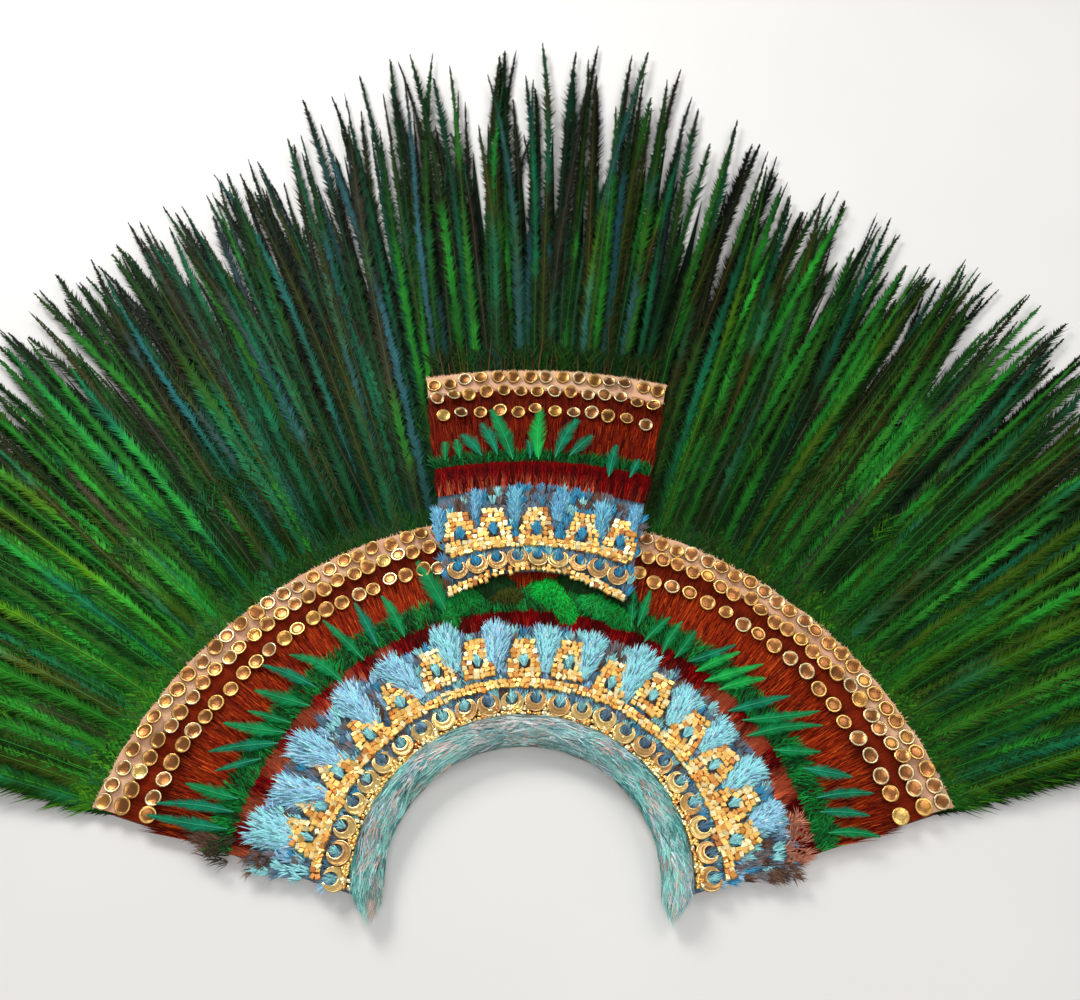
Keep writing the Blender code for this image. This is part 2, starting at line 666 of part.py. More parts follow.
PANEL_STEP_SPAN = 0.78
PANEL_CRESCENT_SPAN = 0.86
PLUME_MIDDLE_SHARE = 0.245
STEP_OFFSET = HEM_MARGIN + HEM_WIDTH + CRESCENT_DIAMETER + STEP_LINE_GAP
STEP_FOOT = wider(TRIM_OUT, STEP_OFFSET, STEP_OFFSET)
STEP_SPAN = 1.0 - share_of(arc_place, STEP_FOOT, STEP_WIDTH * 0.65)
PANEL_CRESCENTS = wider(PANEL_FOOT, PANEL_CRESCENT_RISE, PANEL_CRESCENT_RISE + PANEL_FOOT_DROP - PANEL_CRESCENT_DROP)
PANEL_STEP_RISE = HEM_MARGIN + PANEL_CRESCENT_DIAMETER + STEP_LINE_GAP
PANEL_STEP_FOOT = wider(PANEL_CRESCENTS, PANEL_STEP_RISE, PANEL_STEP_RISE)

for old in list(bpy.data.objects):
    bpy.data.objects.remove(old)
HEADDRESS = bpy.data.collections.new("feathered_headdress")
HELPERS = bpy.data.collections.new("helpers")
bpy.context.scene.collection.children.link(HEADDRESS)
bpy.context.scene.collection.children.link(HELPERS)
FAN = link(bpy.data.objects.new("fan_centre", None), HEADDRESS, None)
PANEL = link(bpy.data.objects.new("panel_axis", None), HEADDRESS, FAN)
PANEL.rotation_euler.z = -PANEL_TURN

backing()
trim()
arc_beds()
edge_strips()
green_band()
arc_gold()
panel_backing()
panel_beds()
panel_strip()
panel_green_band()
panel_gold()
plumes()
rest_on_base()
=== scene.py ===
"""Feathered headdress on its back: feather bands, plumes and sewn gold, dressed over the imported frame."""

import json
import logging
import math
from dataclasses import dataclass
from enum import Enum

import bpy
import numpy as np
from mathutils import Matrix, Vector


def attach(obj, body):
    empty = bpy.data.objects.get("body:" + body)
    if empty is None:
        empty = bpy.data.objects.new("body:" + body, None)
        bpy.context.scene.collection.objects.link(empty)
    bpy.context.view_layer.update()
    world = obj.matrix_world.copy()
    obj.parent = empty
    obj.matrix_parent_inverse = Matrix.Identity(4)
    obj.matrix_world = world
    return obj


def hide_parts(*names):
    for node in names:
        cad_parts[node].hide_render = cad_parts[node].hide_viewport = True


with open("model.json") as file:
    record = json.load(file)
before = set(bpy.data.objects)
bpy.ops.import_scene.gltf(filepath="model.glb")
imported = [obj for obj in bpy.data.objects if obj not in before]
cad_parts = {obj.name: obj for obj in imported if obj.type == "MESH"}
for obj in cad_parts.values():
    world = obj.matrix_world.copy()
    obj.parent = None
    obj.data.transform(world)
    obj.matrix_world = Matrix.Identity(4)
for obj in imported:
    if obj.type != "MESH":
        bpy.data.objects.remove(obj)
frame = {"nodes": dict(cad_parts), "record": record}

Array = np.ndarray
Rng = np.random.Generator
Table = tuple[tuple[float, ...], ...]
LOG = logging.getLogger("headdress")
UP = np.array([0.0, 0.0, 1.0])
FAN_Y: float = frame["record"]["mounts"][0]["pos_m"][1] - 0.27

# metres and degrees that several sub-assemblies share
GROUND = 0.0003
ARC_HALF_TURN = 73.0
ARC_END_DROP = 0.017
PANEL_TURN = 2.2
PANEL_START = 0.333
PANEL_LONG = 0.247
PANEL_HALF_FOOT = 0.091
PANEL_WIDENING = 0.041


# -------- colours


def linear(levels: Array) -> Array:
    """Turns screen levels from 0 to 255 into linear light.

    Args:
        levels: Screen levels, in any shape.

    Returns:
        Linear light from 0 to 1, in the same shape.
    """
    share = np.asarray(levels, float) / 255.0
    return np.where(share <= 0.04045, share / 12.92, ((share + 0.055) / 1.055) ** 2.4)


class Tint(Enum):
    """Colours of the headdress, as screen levels."""

    EMERALD = (34, 106, 22)
    DEEP_GREEN = (22, 64, 18)
    YELLOW_GREEN = (74, 126, 10)
    OLIVE = (62, 68, 12)
    TEAL = (16, 124, 80)
    BLUE = (42, 108, 118)
    GREY_BROWN = (66, 62, 46)
    BRIGHT_GREEN = (40, 158, 44)
    SHAFT_BROWN = (96, 66, 40)
    # painted shade: the colour of the dark sheet that fills the gaps under the plumes
    PAINTED_SHADE_GREEN = (5, 30, 14)
    LEAF = (8, 128, 68)
    LEAF_BRIGHT = (20, 160, 66)
    LEAF_TEAL = (8, 120, 84)
    LEAF_RIB = (110, 200, 150)
    FUR_GREEN = (14, 138, 52)
    FUR_BRIGHT = (8, 176, 58)
    FUR_DARK = (12, 60, 22)
    RUST = (146, 42, 12)
    RUST_DARK = (78, 20, 8)
    RUST_LIGHT = (190, 78, 26)
    RED = (150, 4, 4)
    RED_DARK = (84, 0, 2)
    RED_ROOT = (250, 122, 78)
    TURQUOISE = (164, 240, 242)
    SKY = (166, 216, 246)
    CERULEAN = (70, 162, 204)
    BLUE_GREY = (106, 138, 162)
    GREY = (132, 124, 126)
    BROWN = (112, 82, 66)
    BED_DARK = (70, 84, 92)
    TRIM_TEAL = (142, 206, 196)
    TRIM_DARK = (84, 164, 162)
    TRIM_PINK = (216, 194, 182)
    TRIM_GREY = (184, 206, 214)
    PALE_BLUE = (226, 244, 248)
    SALMON = (206, 132, 104)
    CREAM = (224, 178, 140)
    CREAM_PINK = (216, 160, 126)
    GOLD = (255, 208, 120)
    GOLD_PALE = (255, 236, 180)
    COPPER = (202, 132, 78)
    GOLD_DEEP = (228, 160, 84)

    @property
    def light(self) -> Array:
        """The colour as linear light."""
        return linear(self.value)


def blend(first: Array, second: Array, share: Array) -> Array:
    """Colours between two others: the first times one less the share, and the second times the share."""
    share = np.asarray(share, float)[..., None]
    return first * (1.0 - share) + second * share


def picked(rng: Rng, count: int, choices: dict[Tint, float]) -> Array:
    """Draws colours at random.

    Args:
        rng: Source of the draws.
        count: How many are drawn.
        choices: Weight of each colour.

    Returns:
        Linear colours, (count, 3).
    """
    lights = np.stack([tint.light for tint in choices])
    weights = np.array(list(choices.values()), float)
    return lights[rng.choice(len(lights), count, p=weights / weights.sum())]


def wander(rng: Rng, rows: int, columns: int, knots: int, low: float, high: float) -> Array:
    """Smooth random runs: random knots, evenly apart, joined by straight lines.

    Args:
        rng: Source of the draws.
        rows: Number of runs.
        columns: Numbers in each run.
        knots: Knots in each run.
        low: Least value.
        high: Greatest value.

    Returns:
        The runs, (rows, columns).
    """
    values = rng.uniform(low, high, (rows, knots + 1))
    at = np.linspace(0.0, knots - 1e-6, columns)
    knot = at.astype(int)
    rest = at - knot
    return values[:, knot] * (1.0 - rest) + values[:, knot + 1] * rest


# -------- places


@dataclass(frozen=True)
class Sites:
    """Places on the headdress, with the ways outward from the fan's centre and along its bands."""

    place: Array
    outward: Array
    along: Array

    def lean(self, degrees: Array) -> Array:
        """Ways that lean from outward by an angle: its cosine outward and its sine along the band."""
        angle = np.radians(degrees)[..., None]
        return self.outward * np.cos(angle) + self.along * np.sin(angle)

    @classmethod
    def facing(cls, place: Array, heading: Array) -> "Sites":
        """Sites that look along headings: outward is (sine, cosine), and along is (cosine, less the sine).

        Args:
            place: (..., 3) places.
            heading: Radians from the fan's axis, one for all or one each.

        Returns:
            The sites.
        """
        heading = np.broadcast_to(heading, place.shape[:-1])
        sine, cosine, none = np.sin(heading), np.cos(heading), np.zeros(heading.shape)
        return cls(place, np.stack([sine, cosine, none], -1), np.stack([cosine, -sine, none], -1))

    @classmethod
    def on_fan(cls, radius: Array, turn: Array, height: Array) -> "Sites":
        """Sites on rays of the fan: the sine and cosine of the turn times the radius, from the centre.

        Args:
            radius: Metres from the fan's centre.
            turn: Radians from its axis.
            height: Metres over the ground.

        Returns:
            The sites, which look along their rays.
        """
        place = np.stack(
            [radius * np.sin(turn), radius * np.cos(turn) + FAN_Y, np.broadcast_to(height, turn.shape)], -1,
        )
        return cls.facing(place, turn)


@dataclass(frozen=True)
class Course:
    """A line along the bands, by its radius at the crown and at the ends."""

    crown: float
    ends: float

    def polar(self, share: Array, out: Array, along: Array) -> tuple[Array, Array]:
        """Radius and turn from the fan's axis of places whose share runs from -1 to 1."""
        raise NotImplementedError

    def sites(self, share: Array, out: Array = 0.0, along: Array = 0.0, height: Array = 0.0) -> Sites:
        """Places off the line.

        Args:
            share: Place along the line, from -1 at the left end to 1.
            out: Metres outward from the line.
            along: Metres along the line from the share's place.
            height: Metres over the ground.

        Returns:
            The sites.
        """
        share, out, along, height = np.broadcast_arrays(*(np.asarray(x, float) for x in (share, out, along, height)))
        radius, turn = self.polar(share, out, along)
        return Sites.on_fan(radius, turn, height)

    def even(self, count: int, start: float = -1.0, end: float = 1.0) -> Array:
        """Shares that lie equally far apart along the line, by its running length.

        Args:
            count: How many.
            start: The first.
            end: The last.

        Returns:
            The shares.
        """
        fine = np.linspace(start, end, 400)
        steps = np.linalg.norm(np.diff(self.sites(fine).place, axis=0), axis=1)
        length = np.concatenate([[0.0], np.cumsum(steps)])
        return np.interp(np.linspace(0.0, length[-1], count), length, fine)


@dataclass(frozen=True)
class ArcCourse(Course):
    """A line round the head hollow: its radius falls from crown to ends with the cosine of its turn."""

    def polar(self, share: Array, out: Array, along: Array) -> tuple[Array, Array]:
        """Radius and turn of places along the arc, whose ends are cut below the fan's centre.

        Args:
            share: Place along the line, from -1 to 1.
            out: Metres outward from it.
            along: Metres along it.

        Returns:
            Radii and turns in radians.
        """
        turn = share * (math.radians(ARC_HALF_TURN) + math.asin(ARC_END_DROP / self.ends))
        radius = self.ends + (self.crown - self.ends) * np.cos(turn) + out
        return radius, turn + along / radius


@dataclass(frozen=True)
class PanelCourse(Course):
    """A line across the crown panel: its radius changes with the square of the share."""

    def polar(self, share: Array, out: Array, along: Array) -> tuple[Array, Array]:
        """Radius and turn of places across the panel, whose sides part evenly from foot to top.

        Args:
            share: Place along the line, from -1 to 1.
            out: Metres outward from it.
            along: Metres along it.

        Returns:
            Radii and turns in radians.
        """
        radius = self.crown + (self.ends - self.crown) * share**2 + out
        half_width = PANEL_HALF_FOOT + PANEL_WIDENING * (radius - PANEL_START) / PANEL_LONG
        return radius, share * np.arcsin(half_width / radius) + along / radius + math.radians(PANEL_TURN)


TRIM_OUT = ArcCourse(0.1825, 0.1405)
BED_OUT = ArcCourse(0.272, 0.234)
RED_OUT = ArcCourse(0.292, 0.252)
FUR_OUT = ArcCourse(0.306, 0.271)
EDGE = ArcCourse(0.400, 0.393)
STEP_FOOT = ArcCourse(0.210, 0.168)
CRESCENTS = ArcCourse(0.1970, 0.1555)
PANEL_FOOT = PanelCourse(0.333, 0.316)
PANEL_BED_OUT = PanelCourse(0.427, 0.427)
PANEL_RED_OUT = PanelCourse(0.462, 0.462)
PANEL_TOP = PanelCourse(0.580, 0.580)
PANEL_STEP_FOOT = PanelCourse(0.3605, 0.3530)
PANEL_CRESCENTS = PanelCourse(0.3415, 0.3315)


def flat(points: Array, height: Array = 0.0) -> Array:
    """Places from pairs measured from the fan's centre, at a height.

    Args:
        points: (..., 2) metres to the right and outward.
        height: Metres over the ground.

    Returns:
        The places, (..., 3).
    """
    points = np.asarray(points, float)
    place = np.zeros(points.shape[:-1] + (3,))
    place[..., :2] = points
    place[..., 1] += FAN_Y
    place[..., 2] = height
    return place


def unit(ways: Array) -> Array:
    """Ways divided by their lengths."""
    return ways / np.maximum(np.linalg.norm(ways, axis=-1, keepdims=True), 1e-12)


# -------- finishes


class Wire:
    """A node's output that takes part in sums as a number does."""

    def __init__(self, graph: "Graph", socket: bpy.types.NodeSocket) -> None:
        """Keeps the graph and the socket."""
        self.graph = graph
        self.socket = socket

    def __add__(self, other: "Wire | float") -> "Wire":
        """This and another, added."""
        return self.graph.sum("ADD", self, other)

    def __radd__(self, other: float) -> "Wire":
        """A number and this, added."""
        return self.graph.sum("ADD", other, self)

    def __sub__(self, other: "Wire | float") -> "Wire":
        """This less another."""
        return self.graph.sum("SUBTRACT", self, other)

    def __rsub__(self, other: float) -> "Wire":
        """A number less this."""
        return self.graph.sum("SUBTRACT", other, self)

    def __mul__(self, other: "Wire | float") -> "Wire":
        """This times another."""
        return self.graph.sum("MULTIPLY", self, other)

    def __rmul__(self, other: float) -> "Wire":
        """A number times this."""
        return self.graph.sum("MULTIPLY", other, self)

    def __pow__(self, other: float) -> "Wire":
        """This to a power."""
        return self.graph.sum("POWER", self, other)


class Graph:
    """The nodes of one material."""

    def __init__(self, name: str) -> None:
        """Makes an empty material."""
        self.material = bpy.data.materials.new(name)
        self.material.use_nodes = True
        self.tree = self.material.node_tree
        self.tree.nodes.clear()

    def node(self, kind: str, settings: dict, inputs: dict, output: int | str = 0) -> Wire:
        """Adds a node.

        Args:
            kind: Its type.
            settings: Its properties by name.
            inputs: Numbers or wires by input name or place.
            output: The output that is handed back.

        Returns:
            That output.
        """
        made = self.tree.nodes.new(kind)
        for name, value in settings.items():
            setattr(made, name, value)
        for name, value in inputs.items():
            if isinstance(value, Wire):
                self.tree.links.new(value.socket, made.inputs[name])
            else:
                made.inputs[name].default_value = value
        return Wire(self, made.outputs[output])

    def sum(self, operation: str, first: Wire | float, second: Wire | float) -> Wire:
        """A sum of two numbers."""
        return self.node("ShaderNodeMath", {"operation": operation}, {0: first, 1: second})

    def place(self) -> Wire:
        """The place on the piece, in metres."""
        return self.node("ShaderNodeTexCoord", {}, {}, "Object")

    def tint(self) -> Wire:
        """The colour that the piece carries."""
        return self.node("ShaderNodeAttribute", {"attribute_name": "tint"}, {}, "Color")

    def noise(self, at: Wire, scale: float, detail: float = 2.0, rough: float = 0.5) -> Wire:
        """Cloudy noise, from 0 to 1 about a half."""
        return self.node(
            "ShaderNodeTexNoise", {}, {"Vector": at, "Scale": scale, "Detail": detail, "Roughness": rough}, "Fac",
        )

    def shaded(self, colour: Wire | tuple, shade: Wire) -> Wire:
        """A colour times a number."""
        first = colour if isinstance(colour, Wire) else colour[:3]
        return self.node("ShaderNodeVectorMath", {"operation": "SCALE"}, {0: first, "Scale": shade})

    def mixed(self, first: Wire | tuple, second: Wire | tuple, share: Wire) -> Wire:
        """A colour between two others."""
        return self.node("ShaderNodeMix", {"data_type": "RGBA"}, {0: share, 6: first, 7: second}, 2)

    def clear(self, value: Wire, low: float, high: float) -> Wire:
        """A number stretched so that low becomes 0 and high becomes 1, and kept between them."""
        return self.node("ShaderNodeMapRange", {}, {0: value, 1: low, 2: high})

    def bump(self, height: Wire, strength: float, depth: float) -> Wire:
        """A normal bent by a height."""
        return self.node("ShaderNodeBump", {}, {"Height": height, "Strength": strength, "Distance": depth})

    def fan_turn(self) -> tuple[Wire, Wire]:
        """The turn about the fan's centre, by its arc tangent, and the distance from it.

        Returns:
            The turn and the distance.
        """
        at = self.node("ShaderNodeVectorMath", {"operation": "SUBTRACT"}, {0: self.place(), 1: (0.0, FAN_Y, 0.0)})
        x = self.node("ShaderNodeSeparateXYZ", {}, {0: at}, 0)
        y = self.node("ShaderNodeSeparateXYZ", {}, {0: at}, 1)
        return self.sum("ARCTAN2", x, y), self.node("ShaderNodeVectorMath", {"operation": "LENGTH"}, {0: at}, "Value")

    def surface(self, **sockets: Wire | float | tuple) -> bpy.types.Material:
        """Joins a Principled shader to the output.

        Args:
            sockets: Values or wires by socket name, with underscores for its spaces.

        Returns:
            The material.
        """
        shader = self.node(
            "ShaderNodeBsdfPrincipled", {}, {name.replace("_", " "): value for name, value in sockets.items()},
        )
        end = self.tree.nodes.new("ShaderNodeOutputMaterial")
        self.tree.links.new(shader.socket, end.inputs["Surface"])
        return self.material


def colour_of(tint: Tint) -> tuple[float, float, float, float]:
    """A tint as a socket's value."""
    return (*(float(x) for x in tint.light), 1.0)


@dataclass(frozen=True)
class Finish:
    """A finish that is made once, and worn by every piece that asks for it."""

    name: str

    def material(self) -> bpy.types.Material:
        """The material, made at the first call."""
        return bpy.data.materials.get(self.name) or self.made(Graph(self.name))

    def made(self, graph: Graph) -> bpy.types.Material:
        """Builds the nodes."""
        raise NotImplementedError


@dataclass(frozen=True)
class FeatherFinish(Finish):
    """Feather barbs: the piece's own tints, mottled, with fine barbs in relief and a soft sheen."""

    roughness: float = 0.55
    gloss: float = 0.04
    mottle: float = 0.5
    barbs: float = 650.0

    def made(self, graph: Graph) -> bpy.types.Material:
        """Tint times cloudy and fine noise about one; the fine noise also bends the normal.

        Args:
            graph: An empty material.

        Returns:
            The material.
        """
        place = graph.place()
        cloud = graph.noise(place, 26.0, 3.0)
        fine = graph.noise(place, self.barbs, 2.0, 0.7)
        shade = (1.0 - 0.5 * self.mottle - 0.35) + self.mottle * cloud + 0.7 * fine
        return graph.surface(
            Base_Color=graph.shaded(graph.tint(), shade),
            Roughness=self.roughness + 0.3 * (fine - 0.5),
            Specular_IOR_Level=self.gloss,
            Normal=graph.bump(fine, 0.6, 0.0006),
        )


@dataclass(frozen=True)
class GoldFinish(Finish):
    """Thin beaten gold: tinted by the piece, dimpled, with duller and redder patches."""

    roughness: float = 0.24
    dimples: float = 260.0

    def made(self, graph: Graph) -> bpy.types.Material:
        """Tint darkened in patches of noise; roughness and relief from finer noise.

        Args:
            graph: An empty material.

        Returns:
            The material.
        """
        place = graph.place()
        patches = graph.clear(graph.noise(place, 90.0, 3.0), 0.42, 0.72)
        dents = graph.noise(place, self.dimples, 3.0, 0.6)
        deep = graph.shaded(graph.tint(), 0.5 + 0.5 * dents)
        return graph.surface(
            Base_Color=graph.mixed(graph.tint(), deep, patches * 0.8),
            Metallic=1.0,
            Roughness=self.roughness + 0.25 * dents * patches,
            Normal=graph.bump(dents, 0.55, 0.0007),
        )


@dataclass(frozen=True)
class HideFinish(Finish):
    """Pale hide: cream with pinker blotches, grained."""

    def made(self, graph: Graph) -> bpy.types.Material:
        """Two creams mixed by cloudy noise, with a pebbled relief.

        Args:
            graph: An empty material.

        Returns:
            The material.
        """
        place = graph.place()
        blotch = graph.clear(graph.noise(place, 70.0, 4.0), 0.35, 0.7)
        grain = graph.noise(place, 900.0, 3.0)
        both = graph.mixed(colour_of(Tint.CREAM), colour_of(Tint.CREAM_PINK), blotch)
        return graph.surface(
            Base_Color=graph.shaded(both, 0.75 + 0.5 * grain),
            Roughness=0.7 + 0.2 * grain,
            Normal=graph.bump(grain, 0.6, 0.0008),
        )


@dataclass(frozen=True)
class BedFinish(Finish):
    """A packed layer of short feathers that all point away from the fan's centre."""

    dark: Tint = Tint.RUST_DARK
    pale: Tint = Tint.RUST
    streaks: float = 620.0

    def made(self, graph: Graph) -> bpy.types.Material:
        """Noise drawn out along the radius mixes two tints and gives the relief.

        Args:
            graph: An empty material.

        Returns:
            The material.
        """
        turn, radius = graph.fan_turn()
        drawn = graph.node("ShaderNodeCombineXYZ", {}, {0: turn * self.streaks, 1: radius * 60.0, 2: 0.0})
        streak = graph.noise(drawn, 1.0, 3.0, 0.6)
        cloud = graph.noise(graph.place(), 40.0, 3.0)
        share = graph.clear(streak * 0.7 + cloud * 0.3, 0.36, 0.66)
        return graph.surface(
            Base_Color=graph.mixed(colour_of(self.dark), colour_of(self.pale), share),
            Roughness=0.65 + 0.2 * streak,
            Specular_IOR_Level=0.04,
            Normal=graph.bump(streak, 0.7, 0.0012),
        )


@dataclass(frozen=True)
class FibreFinish(Finish):
    """Undyed plant fibre cloth: threads over and under each other."""

    thread: float = 0.0016

    def made(self, graph: Graph) -> bpy.types.Material:
        """Sines of both coordinates, multiplied, give the threads; noise varies them.

        Args:
            graph: An empty material.

        Returns:
            The material.
        """
        place = graph.place()
        x = graph.node("ShaderNodeSeparateXYZ", {}, {0: place}, 0)
        y = graph.node("ShaderNodeSeparateXYZ", {}, {0: place}, 1)
        weave = (
            graph.sum("SINE", x * (math.pi / self.thread), 0.0) * graph.sum("SINE", y * (math.pi / self.thread), 0.0)
        )
        cloud = graph.noise(place, 60.0, 4.0)
        shade = 0.55 + 0.2 * weave + 0.6 * cloud
        return graph.surface(
            Base_Color=graph.shaded(colour_of(Tint.SHAFT_BROWN), shade),
            Roughness=0.85 + 0.1 * cloud,
            Normal=graph.bump(weave, 0.6, 0.0006),
        )


PLUME = FeatherFinish("plume_green", roughness=0.5, gloss=0.05, mottle=0.5, barbs=900.0)
LEAF_VANE = FeatherFinish("leaf_feather", roughness=0.45, gloss=0.08, mottle=0.3)
DOWN = FeatherFinish("down_feather", roughness=0.6, gloss=0.04, mottle=0.4)
GOLD = GoldFinish("beaten_gold", roughness=0.30)
GOLD_SATIN = GoldFinish("satin_gold", roughness=0.29)
GOLD_LEAF = GoldFinish("gold_plates", roughness=0.42, dimples=420.0)
HIDE = HideFinish("pale_hide")


# -------- meshes


class Heap:
    """Corners, faces and tints that become the mesh of one piece."""

    def __init__(self) -> None:
        """Starts empty."""
        self.corners: list[Array] = []
        self.tints: list[Array] = []
        self.faces: dict[int, list[Array]] = {3: [], 4: []}
        self.count = 0

    def stamp(self, corners: Array, tints: Array, *patterns: Array) -> None:
        """Adds copies of a shape.

        Args:
            corners: (copies, corners, 3) places.
            tints: Linear colours that spread to the same shape.
            patterns: Faces by corner number within one copy, three or four wide.
        """
        copies, size = corners.shape[:2]
        start = (np.arange(copies) * size + self.count)[:, None, None]
        for pattern in patterns:
            wide = pattern.shape[1]
            self.faces[wide].append((pattern[None] + start).reshape(-1, wide))
        self.corners.append(corners.reshape(-1, 3))
        self.tints.append(np.broadcast_to(tints, corners.shape).reshape(-1, 3))
        self.count += copies * size

    def piece(self, name: str, finish: Finish, slot: str, *nodes: str, smooth: bool = False) -> bpy.types.Object:
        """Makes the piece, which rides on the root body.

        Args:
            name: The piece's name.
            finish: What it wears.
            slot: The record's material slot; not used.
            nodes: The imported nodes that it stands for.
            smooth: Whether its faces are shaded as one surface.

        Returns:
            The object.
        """
        corners = np.concatenate(self.corners)
        corners[:, 2] = np.maximum(corners[:, 2], GROUND)
        sets = [np.concatenate(faces) for faces in self.faces.values() if faces]
        loops = np.concatenate([faces.ravel() for faces in sets])
        sizes = np.concatenate([np.full(len(faces), faces.shape[1]) for faces in sets])
        mesh = bpy.data.meshes.new(name)
        mesh.vertices.add(len(corners))
        mesh.vertices.foreach_set("co", corners.astype(np.float32).ravel())
        mesh.loops.add(len(loops))
        mesh.loops.foreach_set("vertex_index", loops.astype(np.int32))
        mesh.polygons.add(len(sizes))
        mesh.polygons.foreach_set("loop_start", (np.cumsum(sizes) - sizes).astype(np.int32))
        mesh.polygons.foreach_set("use_smooth", np.full(len(sizes), smooth))
        mesh.update(calc_edges=True)
        colours = np.ones((len(corners), 4), np.float32)
        colours[:, :3] = np.concatenate(self.tints).clip(0.0, 1.0)
        mesh.color_attributes.new("tint", "FLOAT_COLOR", "POINT").data.foreach_set("color", colours.ravel())
        mesh.materials.append(finish.material())
        made = bpy.data.objects.new(name, mesh)
        bpy.context.scene.collection.objects.link(made)
        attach(made, "root")
        if nodes:
            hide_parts(*nodes)
        LOG.info("%s: %d triangles", name, int((sizes - 2).sum()))
        return made


BLADE_QUAD = np.array([[0, 1, 3, 2]])
BLADE_TIP = np.array([[2, 3, 4]])


def strands(
    heap: Heap, root: Array, aim: Array, length: Array, width: Array, root_tint: Array, tip_tint: Array,
    rise: Array = 0.0, droop: Array = 0.0, face: Array = UP,
) -> None:
    """Adds thin blades: two corners at the root, two at half the length, raised, and one at the tip, sunk.

    Args:
        heap: Where they go.
        root: (n, 3) roots.
        aim: (n, 3) unit ways.
        length: Lengths.
        width: Widths at the root.
        root_tint: Linear colours at the root.
        tip_tint: Linear colours at the tip.
        rise: Height of the middle over the root.
        droop: Depth of the tip under the root.
        face: The way that the blades look.
    """
    length, width, rise, droop = (
        np.broadcast_to(np.asarray(x, float), root.shape[:1])[:, None]
        for x in (length, width, rise, droop)
    )
    half = unit(np.cross(aim, face)) * width * 0.5
    middle = root + aim * length * 0.5 + face * rise
    tip = root + aim * length - face * droop
    corners = np.stack([root - half, root + half, middle - half * 0.8, middle + half * 0.8, tip], 1)
    first, last = np.broadcast_to(root_tint, root.shape), np.broadcast_to(tip_tint, root.shape)
    between = 0.5 * (first + last)
    heap.stamp(corners, np.stack([first, first, between, between, last], 1), BLADE_QUAD, BLADE_TIP)


@dataclass(frozen=True)
class VaneCut:
    """How feathers are cut: their barbs' lean off the shaft, raggedness, clumps, ripple and shaft width, how
    dark their edges are and how often the shaft turns, how short the shortest clump is, by which share the
    lean closes towards the tip, and how much feathers differ in their edges."""

    sweep: float = 32.0
    rag: float = 0.3
    clumps: int = 30
    ripple: float = 0.0012
    shaft: float = 0.0009
    edge_shade: float = 0.4
    stride: int = 6
    notch: float = 0.72
    close: float = 0.0
    unlike: float = 0.0

    def add(
        self, heap: Heap, spine: Array, half: Array, shaft_tint: Array, ridge_tint: Array, vane_tint: Array, rng: Rng,
        up: Array = UP,
    ) -> None:
        """Adds feathers. A barb is a triangle from a station of the spine and the next but one to its tip,
        which lies its reach sideways and the reach over the tangent of the lean ahead.

        Args:
            heap: Where they go.
            spine: (feathers, stations, 3) places.
            half: (feathers, stations) half widths.
            shaft_tint: Linear colours of the shafts, (feathers, stations, 3).
            ridge_tint: Linear colours of the vanes along the shaft, of the same form.
            vane_tint: Linear colours of the vanes' edges, of the same form.
            rng: Source of the raggedness.
            up: The way that the feathers' faces look.
        """
        count, stations = half.shape
        ahead = unit(np.gradient(spine, axis=1))
        side = unit(np.cross(ahead, up))
        barbs = stations - 2
        first = np.arange(barbs)
        tips, tints = [], []
        sweep = self.sweep * (1.0 - self.close * (first / barbs) ** 3)
        edge = self.edge_shade * rng.uniform(1.0 - self.unlike, 1.0 + self.unlike, (count, 1))
        for hand in (1.0, -1.0):
            reach = (
                half[:, :barbs] * (1.0 - self.rag * rng.random((count, barbs)))
                * wander(rng, count, barbs, self.clumps, self.notch, 1.0)
            )
            lean = sweep + rng.normal(0.0, 3.0, (count, 1)) + wander(rng, count, barbs, self.clumps * 2, -9.0, 9.0)
            forward = ahead[:, :barbs] * (reach / np.tan(np.radians(lean)))[..., None]
            tip = spine[:, :barbs] + hand * side[:, :barbs] * reach[..., None] + forward
            tips.append(tip + up * (self.ripple * rng.normal(-0.3, 0.6, (count, barbs)))[..., None])
            # painted shade: the barb tips, at the feathers' edges, are darkened by edge_shade and random clumps, so
            # that the feathers part with dark gaps
            shade = (
                edge * rng.uniform(0.5, 1.6, (count, barbs))
                * wander(rng, count, barbs, int(self.clumps * 1.6), 0.45, 1.6)
            )
            tints.append(vane_tint[:, :barbs] * shade[..., None])
        patterns = [
            np.stack([first, first + stations, first + 2], 1),
            np.stack([first, first + 2, first + stations + barbs], 1),
        ]
        ridge = ridge_tint * wander(rng, count, stations, int(self.clumps * 1.6), 0.75, 1.25)[..., None]
        heap.stamp(np.concatenate([spine, *tips], 1), np.concatenate([ridge, *tints], 1), *patterns)
        spots = np.arange(0, stations - 1, self.stride)
        raised = spine[:, spots] + (up * 0.0006 if up.ndim == 1 else up[:, spots] * 0.0006)
        taper = self.shaft * 0.5 * (1.0 - 0.75 * spots / stations)
        reach = side[:, spots] * taper[None, :, None]
        pair = np.concatenate([raised - reach, raised + reach], 1)
        k, n = np.arange(len(spots) - 1), len(spots)
        colour = np.broadcast_to(shaft_tint, spine.shape)[:, spots]
        heap.stamp(pair, np.concatenate([colour, colour], 1), np.stack([k, k + n, k + n + 1, k + 1], 1))


